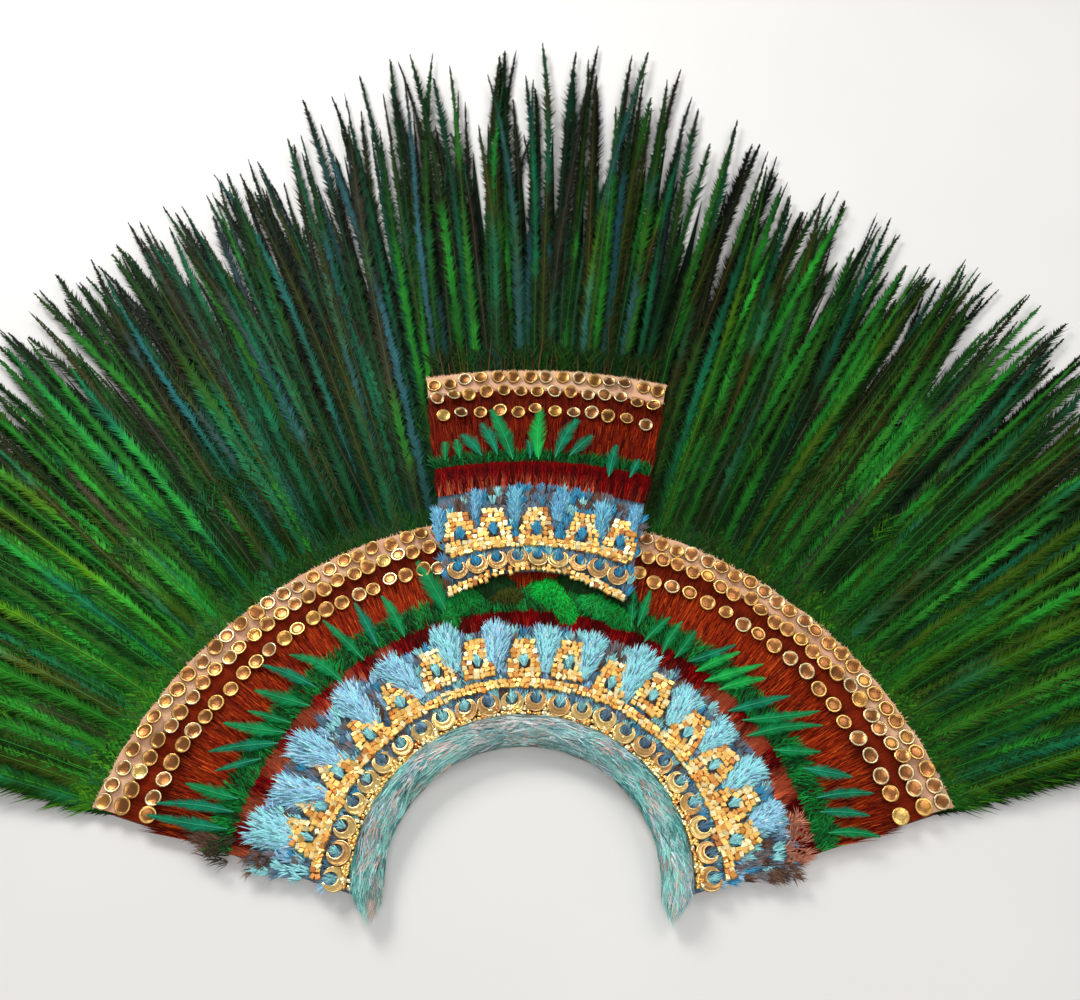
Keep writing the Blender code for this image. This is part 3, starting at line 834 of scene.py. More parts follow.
def ribbon(heap: Heap, inner: Array, outer: Array, low: float, high: float, tint: Array) -> None:
    """Adds a closed flat band between two lines of the same number of points.

    Args:
        heap: Where it goes.
        inner: (n, 3) places of the inner edge, of which the height isn't read.
        outer: The same for the outer edge.
        low: Height of its underside.
        high: Height of its top.
        tint: Linear colour.
    """
    section = np.stack([line[:, :2] for line in (inner, inner, outer, outer)], 1)
    levels = np.broadcast_to(np.array([low, high, high, low])[None, :, None], section.shape[:2] + (1,))
    corners = np.concatenate([section, levels], 2)
    count = len(inner)
    first = np.arange(count - 1)[:, None] * 4
    k = np.arange(4)[None]
    after = (k + 1) % 4
    quads = np.stack([first + k, first + 4 + k, first + 4 + after, first + after], -1).reshape(-1, 4)
    caps = np.array([[0, 1, 2, 3], [3, 2, 1, 0]]) + np.array([[0], [4 * (count - 1)]])
    heap.stamp(corners.reshape(1, -1, 3), tint, np.concatenate([quads, caps]))


def scattered(rng: Rng, count: int, low: float, high: float) -> tuple[Array, Array]:
    """Random shares of a line, and distances out from it between two others."""
    return rng.uniform(-1.0, 1.0, count), rng.uniform(low, high, count)


def tufts(
    heap: Heap, rng: Rng, sites: Sites, each: int, lean: Array, spread: float, length: float, width: float,
    tints: Array, rise: float = 0.002,
) -> None:
    """Adds small open feathers, each a spray of blades from nearly one root.

    Args:
        heap: Where they go.
        rng: Source of the spread.
        sites: Their roots.
        each: Blades in one.
        lean: Degrees that each leans off outward.
        spread: Degrees that its blades part to each side.
        length: Length of a blade.
        width: Width of a blade.
        tints: Linear colour of each.
        rise: Height of the blades' middles.
    """
    count = len(sites.place)
    many = Sites(*(np.repeat(x, each, 0) for x in (sites.place, sites.outward, sites.along)))
    off = np.tile(np.linspace(-1.0, 1.0, each), count)
    aim = many.lean(np.repeat(lean, each) + off * spread + rng.normal(0.0, 4.0, count * each))
    back = rng.uniform(0.0, 0.45, (count * each, 1)) * length
    root = many.place + aim * back * 0.6 + many.along * (off * length * 0.06)[:, None]
    root[:, 2] += rng.uniform(0.0, rise, count * each)
    reach = length * (1.0 - 0.25 * off**2) * rng.uniform(0.75, 1.1, count * each)
    tint = np.repeat(tints, each, 0) * rng.uniform(0.6, 1.3, (count * each, 1))
    # darker roots (0.6 of the tint): painted shade where the blades lie under others
    strands(
        heap, root, aim, reach, width * rng.uniform(0.7, 1.3, count * each), tint * 0.6, tint,
        rng.uniform(0.2, 1.0, count * each) * rise, rise * 0.3,
    )


# -------- plumes


@dataclass(frozen=True)
class Sector:
    """A share of the fan, in degrees from its axis, that one piece holds."""

    name: str
    start: float
    end: float


@dataclass
class PlumeFan:
    """Long plumes in a fan behind the bands, and behind the panel's top at the crown."""

    each: int = 120
    stations: int = 284
    half_width: float = 0.0128
    root_level: float = 0.0045
    fullness: float = 0.013
    widest_root: float = 75.4
    # where plumes start: behind the panel's top, and under the arc's edge strip
    panel_root: float = 0.556
    arc_root: float = 0.376
    panel_half_turn: float = 12.6
    # how far out the plumes are evened in tint, and by how much
    calm_depth: float = 0.2
    calm_share: float = 0.62
    down_strands: int = 4000
    down_depth: float = 0.14
    stalk_count: int = 60
    sheet_points: int = 61
    sheet_low: float = 0.0010
    sheet_high: float = 0.0026
    sectors: tuple[Sector, ...] = (
        Sector("centre", -18.5, 18.5),
        Sector("left_high", -37.4, -18.5),
        Sector("left_middle", -56.4, -37.4),
        Sector("left_low", -75.6, -56.4),
        Sector("right_high", 18.5, 37.4),
        Sector("right_middle", 37.4, 56.4),
        Sector("right_low", 56.4, 75.6),
    )
    # degrees from the axis, how far out the plumes reach there, in metres
    reach: tuple[tuple[float, float], ...] = (
        (-76.0, 0.900), (-45.0, 0.905), (-40.0, 0.925), (-35.0, 0.946), (-31.0, 0.965), (-26.0, 0.975),
        (-23.0, 1.000), (-17.8, 1.030), (-13.6, 1.140), (-8.0, 1.180), (0.0, 1.180), (8.0, 1.180), (10.0, 1.150),
        (13.6, 1.075), (15.8, 1.050), (21.0, 0.965), (26.0, 0.958), (30.0, 0.945), (38.0, 0.925), (44.0, 0.912),
        (76.0, 0.900),
    )
    # degrees from the axis, then the weights of emerald, deep green, yellow green, olive, teal, blue, grey brown
    weights: Table = (
        (-75.0, 0.38, 0.22, 0.26, 0.10, 0.04, 0.00, 0.00),
        (-50.0, 0.36, 0.28, 0.16, 0.10, 0.07, 0.00, 0.03),
        (-30.0, 0.22, 0.36, 0.05, 0.14, 0.10, 0.01, 0.12),
        (-12.0, 0.24, 0.36, 0.03, 0.10, 0.17, 0.02, 0.08),
        (0.0, 0.29, 0.34, 0.04, 0.10, 0.15, 0.02, 0.06),
        (12.0, 0.16, 0.38, 0.05, 0.24, 0.06, 0.01, 0.10),
        (30.0, 0.25, 0.36, 0.12, 0.22, 0.03, 0.00, 0.02),
        (50.0, 0.35, 0.25, 0.24, 0.14, 0.02, 0.00, 0.00),
        (75.0, 0.40, 0.16, 0.30, 0.12, 0.02, 0.00, 0.00),
    )
    # degrees from the axis, and how bright the plumes are there: partly their own tone, partly painted shade, darkest
    # across the top of the fan
    glow: tuple[tuple[float, float], ...] = (
        (-75.0, 1.12), (-55.0, 1.02), (-38.0, 0.64), (-24.0, 0.42), (-12.0, 0.48), (2.0, 0.54), (12.0, 0.40),
        (30.0, 0.42), (45.0, 0.60), (75.0, 0.62),
    )
    greens: tuple[Tint, ...] = (
        Tint.EMERALD, Tint.DEEP_GREEN, Tint.YELLOW_GREEN, Tint.OLIVE, Tint.TEAL, Tint.BLUE, Tint.GREY_BROWN,
    )
    cut: VaneCut = VaneCut(
        sweep=33.0, rag=0.55, clumps=72, ripple=0.0016, shaft=0.0009, edge_shade=0.40, stride=9, notch=0.5,
        close=0.25, unlike=0.5,
    )

    def reach_at(self, degrees: Array) -> Array:
        """How far out the plumes reach at a turn, by straight lines through the table."""
        table = np.array(self.reach)
        return np.interp(degrees, table[:, 0], table[:, 1])

    def colours(self, degrees: Array, rng: Rng) -> Array:
        """A colour for each plume, drawn by the weights of its turn.

        Args:
            degrees: Turns from the fan's axis.
            rng: Source of the draws.

        Returns:
            Linear colours, (n, 3).
        """
        table = np.array(self.weights)
        weights = np.stack([np.interp(degrees, table[:, 0], column) for column in table[:, 1:].T], 1)
        rising = np.cumsum(weights / weights.sum(1, keepdims=True), 1)
        choice = (rising < rng.random(len(degrees))[:, None]).sum(1).clip(0, len(self.greens) - 1)
        return np.stack([tint.light for tint in self.greens])[choice]

    def glow_at(self, degrees: Array) -> Array:
        """How bright the plumes are at a turn, by straight lines through the table."""
        table = np.array(self.glow)
        return np.interp(degrees, table[:, 0], table[:, 1])

    def behind_panel(self, degrees: Array) -> Array:
        """Whether a turn lies behind the panel."""
        return np.abs(degrees - PANEL_TURN) < self.panel_half_turn

    def root_radius(self, degrees: Array) -> Array:
        """Where the plumes start: under the edge strip, or behind the panel's top."""
        under_strip = self.arc_root + 0.006 * np.cos(np.radians(degrees))
        return np.where(self.behind_panel(degrees), self.panel_root, under_strip)

    def patches(self, degrees: Array, radius: Array) -> tuple[Array, Array]:
        """Patches that run on from plume to plume: sums of sines of the turn and the way out.

        Args:
            degrees: Turns from the fan's axis.
            radius: Ways out from its centre.

        Returns:
            How olive the plumes are there, from 0 to 0.8, and how bright, about 1.
        """
        first = np.sin(0.23 * degrees + 9.0 * radius + 1.3) + np.sin(0.61 * degrees - 15.0 * radius + 0.4)
        second = np.sin(0.37 * degrees - 7.0 * radius + 4.0) + np.sin(1.15 * degrees + 12.0 * radius)
        second = second + np.sin(2.3 * degrees - 21.0 * radius + 2.0)
        return np.clip(0.35 * first, 0.0, 0.8), 1.0 + 0.16 * second

    def plumes(self, heap: Heap, sector: Sector, rng: Rng) -> None:
        """Adds a sector's plumes. The turn changes with the power 1.5 of the way out, and far to the
        sides the plumes sag with its cube. They rise off their roots by the smooth step 3x^2 - 2x^3.

        Args:
            heap: Where they go.
            sector: Their share of the fan.
            rng: Source of their differences.
        """
        count = self.each
        root_turn = np.linspace(sector.start, sector.end, count) + rng.normal(0.0, 0.35, count)
        root_turn = root_turn.clip(-self.widest_root, self.widest_root)
        rank = rng.random(count)
        long, middling, short = (
            rng.uniform(low, high, count)
            for low, high in ((0.92, 1.0), (0.82, 0.95), (0.62, 0.85))
        )
        share = np.where(rank < 0.4, long, np.where(rank < 0.75, middling, short))
        start = self.root_radius(root_turn)
        drift = rng.normal(0.0, 1.1, count)
        end_turn = root_turn * (1.0 + 0.01 * (np.abs(root_turn) > 12.0)) + drift
        level = rng.random(count)
        reach = self.reach_at(end_turn) * share
        way = np.linspace(0.0, 1.0, self.stations)[None]
        radius = start[:, None] + (reach - start)[:, None] * way
        sag = 1.3 * np.clip((np.abs(root_turn) - 55.0) / 20.0, 0.0, 1.0) * np.sign(root_turn)
        turn = (
            root_turn[:, None] + (end_turn - root_turn)[:, None] * way**1.5
            + (sag + rng.normal(0.0, 0.5, count))[:, None] * way**3
        )
        turn = turn + 0.35 * np.sin(way * rng.uniform(2.0, 6.0, (count, 1)) + rng.uniform(0.0, 6.3, (count, 1))) * way
        out = radius - start[:, None]
        clear = np.clip((out - 0.02) / 0.07, 0.0, 1.0)
        rise = self.fullness * (level[:, None] * 0.75 + 0.05) * clear * clear * (3.0 - 2.0 * clear)
        height = (self.root_level + 0.0025 * level[:, None] + rise) * (1.0 - 0.35 * way**3)
        spine = Sites.on_fan(radius, np.radians(turn), height).place
        taper = np.clip((1.0 - way) / rng.uniform(0.12, 0.42, (count, 1)), 0.0, 1.0) ** 0.7
        foot = np.clip(way / 0.04, 0.7, 1.0)
        half = self.half_width * rng.uniform(0.65, 1.2, (count, 1)) * taper * foot
        half = half * wander(rng, count, self.stations, 12, 0.75, 1.15) + 0.0005
        base = self.colours(end_turn, rng)
        upper = sector.name in ("centre", "left_high")
        teal, green, blue = (0.55, 0.25, 0.26) if upper else (0.14, 0.4, 0.0)
        accent = picked(rng, count, {Tint.TEAL: teal, Tint.BRIGHT_GREEN: green, Tint.BLUE: blue})
        # painted shade and sheen: bright darkens the lower plumes of the stack, with a random share; glint lays a
        # painted sheen of the accent colour on the upper plumes only, faint over the vane and strong along the shaft
        # (ridge)
        bright = (0.26 + 0.92 * level**1.8) * rng.uniform(0.8, 1.2, count) * self.glow_at(end_turn)
        glint = np.clip(wander(rng, count, self.stations, 5, -1.4, 1.6), 0.0, 1.0) * (level > 0.45)[:, None]
        # painted shade: the plumes darken beyond 0.72 m from the fan's centre and over the last fifth of their
        # length, as light falling off towards the tips
        painted_outer_shade = 1.0 - 0.42 * np.clip((radius - 0.72) / 0.3, 0.0, 1.0) - 0.25 * np.clip((way - 0.8) / 0.2, 0.0, 1.0)
        dull, lit = self.patches(turn, radius)
        vane = blend(base[:, None], accent[:, None] * 1.1, glint * 0.25)
        vane = blend(vane, 0.5 * vane + 0.5 * Tint.OLIVE.light, dull)
        ridge = blend(vane, accent[:, None] * 1.6, glint * 0.8)
        shade = (bright[:, None] * wander(rng, count, self.stations, 9, 0.65, 1.3) * painted_outer_shade * lit)[..., None]
        even = (0.31 * (Tint.EMERALD.light + Tint.DEEP_GREEN.light)) * (self.glow_at(turn) * lit)[..., None]
        calm = self.calm_share * np.clip(1.0 - out / self.calm_depth, 0.0, 1.0)
        # near marks the first few centimetres of the plumes behind the panel's top: painted shade dims them there by
        # up to a quarter, and their shafts turn brown
        near = np.clip(1.0 - (out - 0.02) / 0.05, 0.0, 1.0) * (start > 0.5)[:, None]
        dim = (1.0 - 0.25 * near)[..., None]
        vane, ridge = (blend(tint * shade, even, calm) * dim for tint in (vane, ridge))
        light = blend(base, accent, np.full(count, 0.4)) * bright[:, None] * 1.25 + 0.004
        brownish = np.maximum(((rng.random(count) < 0.3) * 0.8)[:, None], near)
        shaft = blend(light[:, None], np.broadcast_to(Tint.SHAFT_BROWN.light * 0.8, spine.shape), brownish)
        self.cut.add(heap, spine, half, blend(shaft, even, calm), ridge, vane, rng)

    def down(self, heap: Heap, sector: Sector, rng: Rng) -> None:
        """Adds loose barbs over the plumes' feet, which cross each other and hide the shafts.

        Args:
            heap: Where they go.
            sector: Their share of the fan.
            rng: Source of their places.
        """
        count = self.down_strands
        turn = rng.uniform(sector.start, sector.end, count)
        behind = self.behind_panel(turn)
        depth = rng.random(count) ** 1.5
        radius = self.root_radius(turn) + 0.014 + np.where(behind, 0.004, 0.0)
        radius = radius + depth * np.where(behind, 0.03, self.down_depth)
        sites = Sites.on_fan(radius, np.radians(turn), 0.0066 + 0.0085 * depth * rng.uniform(0.6, 1.15, count))
        hand = np.where(rng.random(count) < 0.5, -1.0, 1.0)
        aim = sites.lean(hand * rng.uniform(16.0, 38.0, count))
        clump = np.round((turn - sector.start) * 1.3).astype(int)
        palette = self.colours(np.linspace(sector.start, sector.end, clump.max() + 1), rng)
        tint = blend(palette[clump], self.colours(turn, rng), np.full(count, 0.12))
        tint = blend(tint, np.broadcast_to(Tint.EMERALD.light, tint.shape), np.full(count, 0.45))
        # painted light and shade: barbs near the roots are lightened, up to 1.3, against the shade of the hide's
        # edge, and those behind the panel are held at 0.8
        shade = rng.uniform(0.45, 1.35, count) * self.glow_at(turn) * np.where(behind, 0.8, 1.3 - 0.4 * depth)
        tint = tint * (shade * (0.85 + 0.3 * np.sin(clump * 3.3)))[:, None]
        strands(
            heap, sites.place, aim, rng.uniform(0.016, 0.034, count), rng.uniform(0.0010, 0.0017, count), tint,
            tint * 0.8, rng.uniform(0.0004, 0.0016, count), 0.0004,
        )

    def stalks(self, heap: Heap, rng: Rng) -> None:
        """Adds the brown stalks that show above the panel's top.

        Args:
            heap: Where they go.
            rng: Source of their places.
        """
        count = self.stalk_count
        share = rng.uniform(-0.95, 0.95, count)
        sites = PANEL_TOP.sites(share, rng.uniform(-0.006, 0.008, count), 0.0, rng.uniform(0.0125, 0.0165, count))
        tint = picked(rng, count, {Tint.SHAFT_BROWN: 0.6, Tint.OLIVE: 0.4}) * rng.uniform(0.2, 0.9, (count, 1))
        strands(
            heap, sites.place, sites.lean(rng.normal(0.0, 4.0, count)), rng.uniform(0.02, 0.075, count),
            rng.uniform(0.0008, 0.0014, count), tint, tint * 0.8, 0.0012, 0.0,
        )

    def shade_sheet(self, heap: Heap, sector: Sector, rng: Rng) -> None:
        """Adds a dark sheet under the plumes, painted shade that fills the gaps between them: a closed sheet whose
        outer edge is a zigzag of plume tips.

        Args:
            heap: Where it goes.
            sector: Its share of the fan.
            rng: Source of the zigzag.
        """
        count = self.sheet_points
        turns = np.linspace(sector.start, sector.end, count)
        zigzag = np.where(np.arange(count) % 2 == 0, 0.66, rng.uniform(0.78, 0.88, count))
        lines = (
            Sites.on_fan(radius, np.radians(turns), 0.0).place
            for radius in (self.root_radius(turns), self.reach_at(turns) * zigzag)
        )
        ribbon(heap, *lines, self.sheet_low, self.sheet_high, Tint.PAINTED_SHADE_GREEN.light)

    def build(self) -> None:
        """Builds a piece for each sector."""
        for number, sector in enumerate(self.sectors):
            rng = np.random.default_rng(100 + number)
            heap = Heap()
            self.shade_sheet(heap, sector, rng)
            self.plumes(heap, sector, rng)
            self.down(heap, sector, rng)
            if sector.name == "centre":
                self.stalks(heap, rng)
            heap.piece(f"feathers_{sector.name}", PLUME, f"plumes_{sector.name}", f"plumes_{sector.name}")


# -------- brown field, hide and discs


@dataclass
class BrownField:
    """Rust brown feathers between the green fur and the edge strip, on the arc and the panel."""

    top: float = 0.0083
    panel_top: float = 0.0185

    def layer(
        self, name: str, course: Course, depth: float, count: int, top: float, glow: tuple[float, float, float],
        slot: str, seed: int,
    ) -> None:
        """Lays strands that point outward, darker near the strip.

        Args:
            name: The piece's name.
            course: The line that it starts from.
            depth: How far out it reaches.
            count: Strands.
            top: Height of the roots.
            glow: What red, green and blue are multiplied by.
            slot: The record's material slot.
            seed: Start of the random draws.
        """
        rng = np.random.default_rng(seed)
        share, out = scattered(rng, count, -0.004, depth - 0.052)
        sites = course.sites(share, out, 0.0, top + rng.uniform(0.0, 0.0009, count))
        tint = picked(rng, count, {Tint.RUST: 0.6, Tint.RUST_DARK: 0.25, Tint.RUST_LIGHT: 0.12, Tint.RED_DARK: 0.1})
        tint = tint * rng.uniform(0.55, 1.2, (count, 1)) * np.array(glow)
        reach = rng.uniform(0.020, 0.031, count)
        dark = np.clip((out + reach - (depth - 0.042)) / 0.012, 0.0, 1.0)
        tip = blend(tint * 1.15, np.broadcast_to(Tint.RUST_DARK.light * 0.5, tint.shape), dark * 0.85)
        heap = Heap()
        strands(
            heap, sites.place, sites.lean(rng.normal(0.0, 4.0, count)), reach, rng.uniform(0.0006, 0.0010, count),
            tint, tip, rng.uniform(0.0004, 0.0010, count), -0.0002,
        )
        heap.piece(name, DOWN, slot)

    def build(self) -> None:
        """Builds both layers."""
        self.layer("field_feathers", FUR_OUT, 0.094, 15000, self.top, (1.06, 0.96, 0.7), "brown_field", 11)
        # the panel's strands are darker and redder than the arc's: partly their own colour, partly painted shade
        self.layer(
            "panel_field_feathers", PANEL_RED_OUT, 0.118, 4800, self.panel_top, (0.62, 0.40, 0.24),
            "panel_brown_field", 12,
        )


@dataclass(frozen=True)
class DiscShape:
    """A small dished disc with a raised rim, turned from a profile."""

    # millimetres of radius and height, then the share of the rim's paler tint, a painted highlight on the raised rim
    profile: tuple[tuple[float, float, float], ...] = (
        (0.0, 0.55, 0.0), (3.6, 0.6, 0.0), (5.5, 1.0, 0.05), (6.7, 1.95, 1.0), (7.6, 1.5, 0.45), (7.7, 0.0, 0.0),
        (0.0, 0.0, 0.0),
    )
    segments: int = 14

    def add(self, heap: Heap, place: Array, tilt: Array, scale: Array, tint: Array, rim: Array) -> None:
        """Adds discs: the profile's radius times the cosine and sine of the turn, tipped by a shear.

        Args:
            heap: Where they go.
            place: (n, 3) centres of the feet.
            tilt: (n, 2) slopes to the right and outward.
            scale: (n,) sizes.
            tint: (n, 3) linear colours of the dishes.
            rim: (n, 3) linear colours of the rims.
        """
        profile = np.array(self.profile) * np.array([0.001, 0.001, 1.0])
        rings = profile[1:-1]
        count, segments = len(rings), self.segments
        turn = np.linspace(0.0, 2.0 * math.pi, segments, endpoint=False)
        x = np.concatenate([[0.0], (rings[:, :1] * np.cos(turn)).ravel(), [0.0]])
        y = np.concatenate([[0.0], (rings[:, :1] * np.sin(turn)).ravel(), [0.0]])
        z, glow = (
            np.concatenate([profile[:1, k], np.repeat(rings[:, k], segments), profile[-1:, k]])
            for k in (1, 2)
        )
        shape = np.stack([x, y, z], 1)[None] * scale[:, None, None]
        slope = shape[..., 0] * tilt[:, :1] + shape[..., 1] * tilt[:, 1:]
        shape[..., 2] += slope + np.abs(tilt).sum(1, keepdims=True) * rings[:, 0].max()
        k = np.arange(segments)
        after = (k + 1) % segments
        start = 1 + np.arange(count - 1)[:, None] * segments
        quads = np.stack([start + k, start + segments + k, start + segments + after, start + after], -1)
        quads = quads.reshape(-1, 4)
        last = 1 + (count - 1) * segments
        poles = np.concatenate(
            [np.stack([0 * k, 1 + k, 1 + after], 1), np.stack([last + after, last + k, 0 * k + last + segments], 1)]
        )
        colours = blend(tint[:, None], rim[:, None], np.broadcast_to(glow, shape.shape[:2]))
        heap.stamp(place[:, None] + shape, colours, quads, poles)


@dataclass
class EdgeStrip:
    """Pale hide along the outer edge, with gold discs in rows on it and below it."""

    width: float = 0.0235
    low: float = 0.0086
    high: float = 0.0096
    points: int = 121
    hairs_to_a_share: int = 1500
    panel_lift: float = 0.0102
    disc: DiscShape = DiscShape()
    # each row's inset from the edge, number of discs, and first and last share
    left_rows: tuple[tuple[float, int, float, float], ...] = (
        (0.009, 26, -0.985, -0.175), (0.0265, 26, -0.985, -0.165), (0.050, 23, -0.985, -0.19),
    )
    right_rows: tuple[tuple[float, int, float, float], ...] = (
        (0.009, 26, 0.215, 0.985), (0.0265, 25, 0.225, 0.985), (0.050, 19, 0.245, 0.985),
    )
    panel_rows: tuple[tuple[float, int, float, float], ...] = (
        (0.0100, 15, -0.94, 0.94), (0.0290, 14, -0.93, 0.93), (0.0550, 12, -0.88, 0.88),
    )

    def hide(self, name: str, course: Course, start: float, end: float, lift: float, node: str, seed: int) -> None:
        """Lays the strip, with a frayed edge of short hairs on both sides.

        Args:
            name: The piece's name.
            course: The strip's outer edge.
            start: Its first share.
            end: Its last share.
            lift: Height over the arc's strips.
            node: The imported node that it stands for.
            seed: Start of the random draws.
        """
        rng = np.random.default_rng(seed)
        heap = Heap()
        shares = np.linspace(start, end, self.points)
        wave = wander(rng, 1, self.points, 40, -0.0012, 0.0012)[0]
        outer = course.sites(shares, wave).place
        inner = course.sites(shares, -self.width + wave[::-1]).place
        ribbon(heap, inner, outer, self.low + lift, self.high + lift, Tint.CREAM.light)
        count = int(self.hairs_to_a_share * abs(end - start))
        share = rng.uniform(start, end, count)
        outside = rng.random(count) < 0.5
        out = np.where(outside, -0.0015, -self.width + 0.001) + rng.normal(0.0, 0.001, count)
        sites = course.sites(share, out, 0.0, self.high + lift - 0.0006)
        lean = np.where(outside, 0.0, 180.0) + rng.normal(0.0, 35.0, count)
        tint = picked(rng, count, {Tint.CREAM: 0.7, Tint.CREAM_PINK: 0.3})
        strands(heap, sites.place, sites.lean(lean), rng.uniform(0.002, 0.0045, count), 0.0006, tint, tint, 0.0004)
        heap.piece(name, HIDE, node, node)

    def rows(
        self, name: str, course: Course, rows: tuple[tuple[float, int, float, float], ...], level: float, glow: float,
        node: str, seed: int,
    ) -> None:
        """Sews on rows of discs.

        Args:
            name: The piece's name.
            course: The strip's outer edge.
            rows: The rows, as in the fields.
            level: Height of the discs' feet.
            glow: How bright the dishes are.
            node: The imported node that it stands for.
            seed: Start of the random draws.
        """
        rng = np.random.default_rng(seed)
        heap = Heap()
        for inset, count, start, end in rows:
            line = type(course)(course.crown - inset, course.ends - inset)
            shares = line.even(count, start, end)
            off, beside = rng.normal(0.0, 0.0011, count), rng.normal(0.0, 0.0009, count)
            place = line.sites(shares, off, beside, level + rng.uniform(0.0, 0.0006, count)).place
            # the dishes are darkened copper and the rims pale gold: painted shade in the dish and a painted highlight
            # on the rim of one gold
            tint = (
                picked(rng, count, {Tint.COPPER: 0.84, Tint.GOLD: 0.03, Tint.GOLD_DEEP: 0.13})
                * rng.uniform(0.40, 0.76, (count, 1)) * glow
            )
            rim = picked(rng, count, {Tint.GOLD_PALE: 0.3, Tint.GOLD: 0.7}) * min(1.0, 0.5 + 0.5 * glow)
            self.disc.add(heap, place, rng.normal(0.0, 0.13, (count, 2)), rng.uniform(0.95, 1.05, count), tint, rim)
        heap.piece(name, GOLD, node, node, smooth=True)

    def build(self) -> None:
        """Builds the strips and discs of the left side, the right side and the panel."""
        self.hide("hide_left", EDGE, -1.0, -0.165, 0.0, "edge_strip_left", 21)
        self.hide("hide_right", EDGE, 0.20, 1.0, 0.0, "edge_strip_right", 22)
        self.hide("hide_panel", PANEL_TOP, -1.0, 1.0, self.panel_lift, "panel_edge_strip", 23)
        level = self.high + 0.0001
        # the discs are brighter on the left (1.3) than on the right (1.2) and darkest on the panel (0.7): painted
        # light and shade on the same gold
        self.rows("discs_left", EDGE, self.left_rows, level, 1.3, "edge_strip_left", 24)
        self.rows("discs_right", EDGE, self.right_rows, level, 1.2, "edge_strip_right", 25)
        self.rows("discs_panel", PANEL_TOP, self.panel_rows, level + self.panel_lift, 0.7, "panel_edge_strip", 26)


# -------- green edge


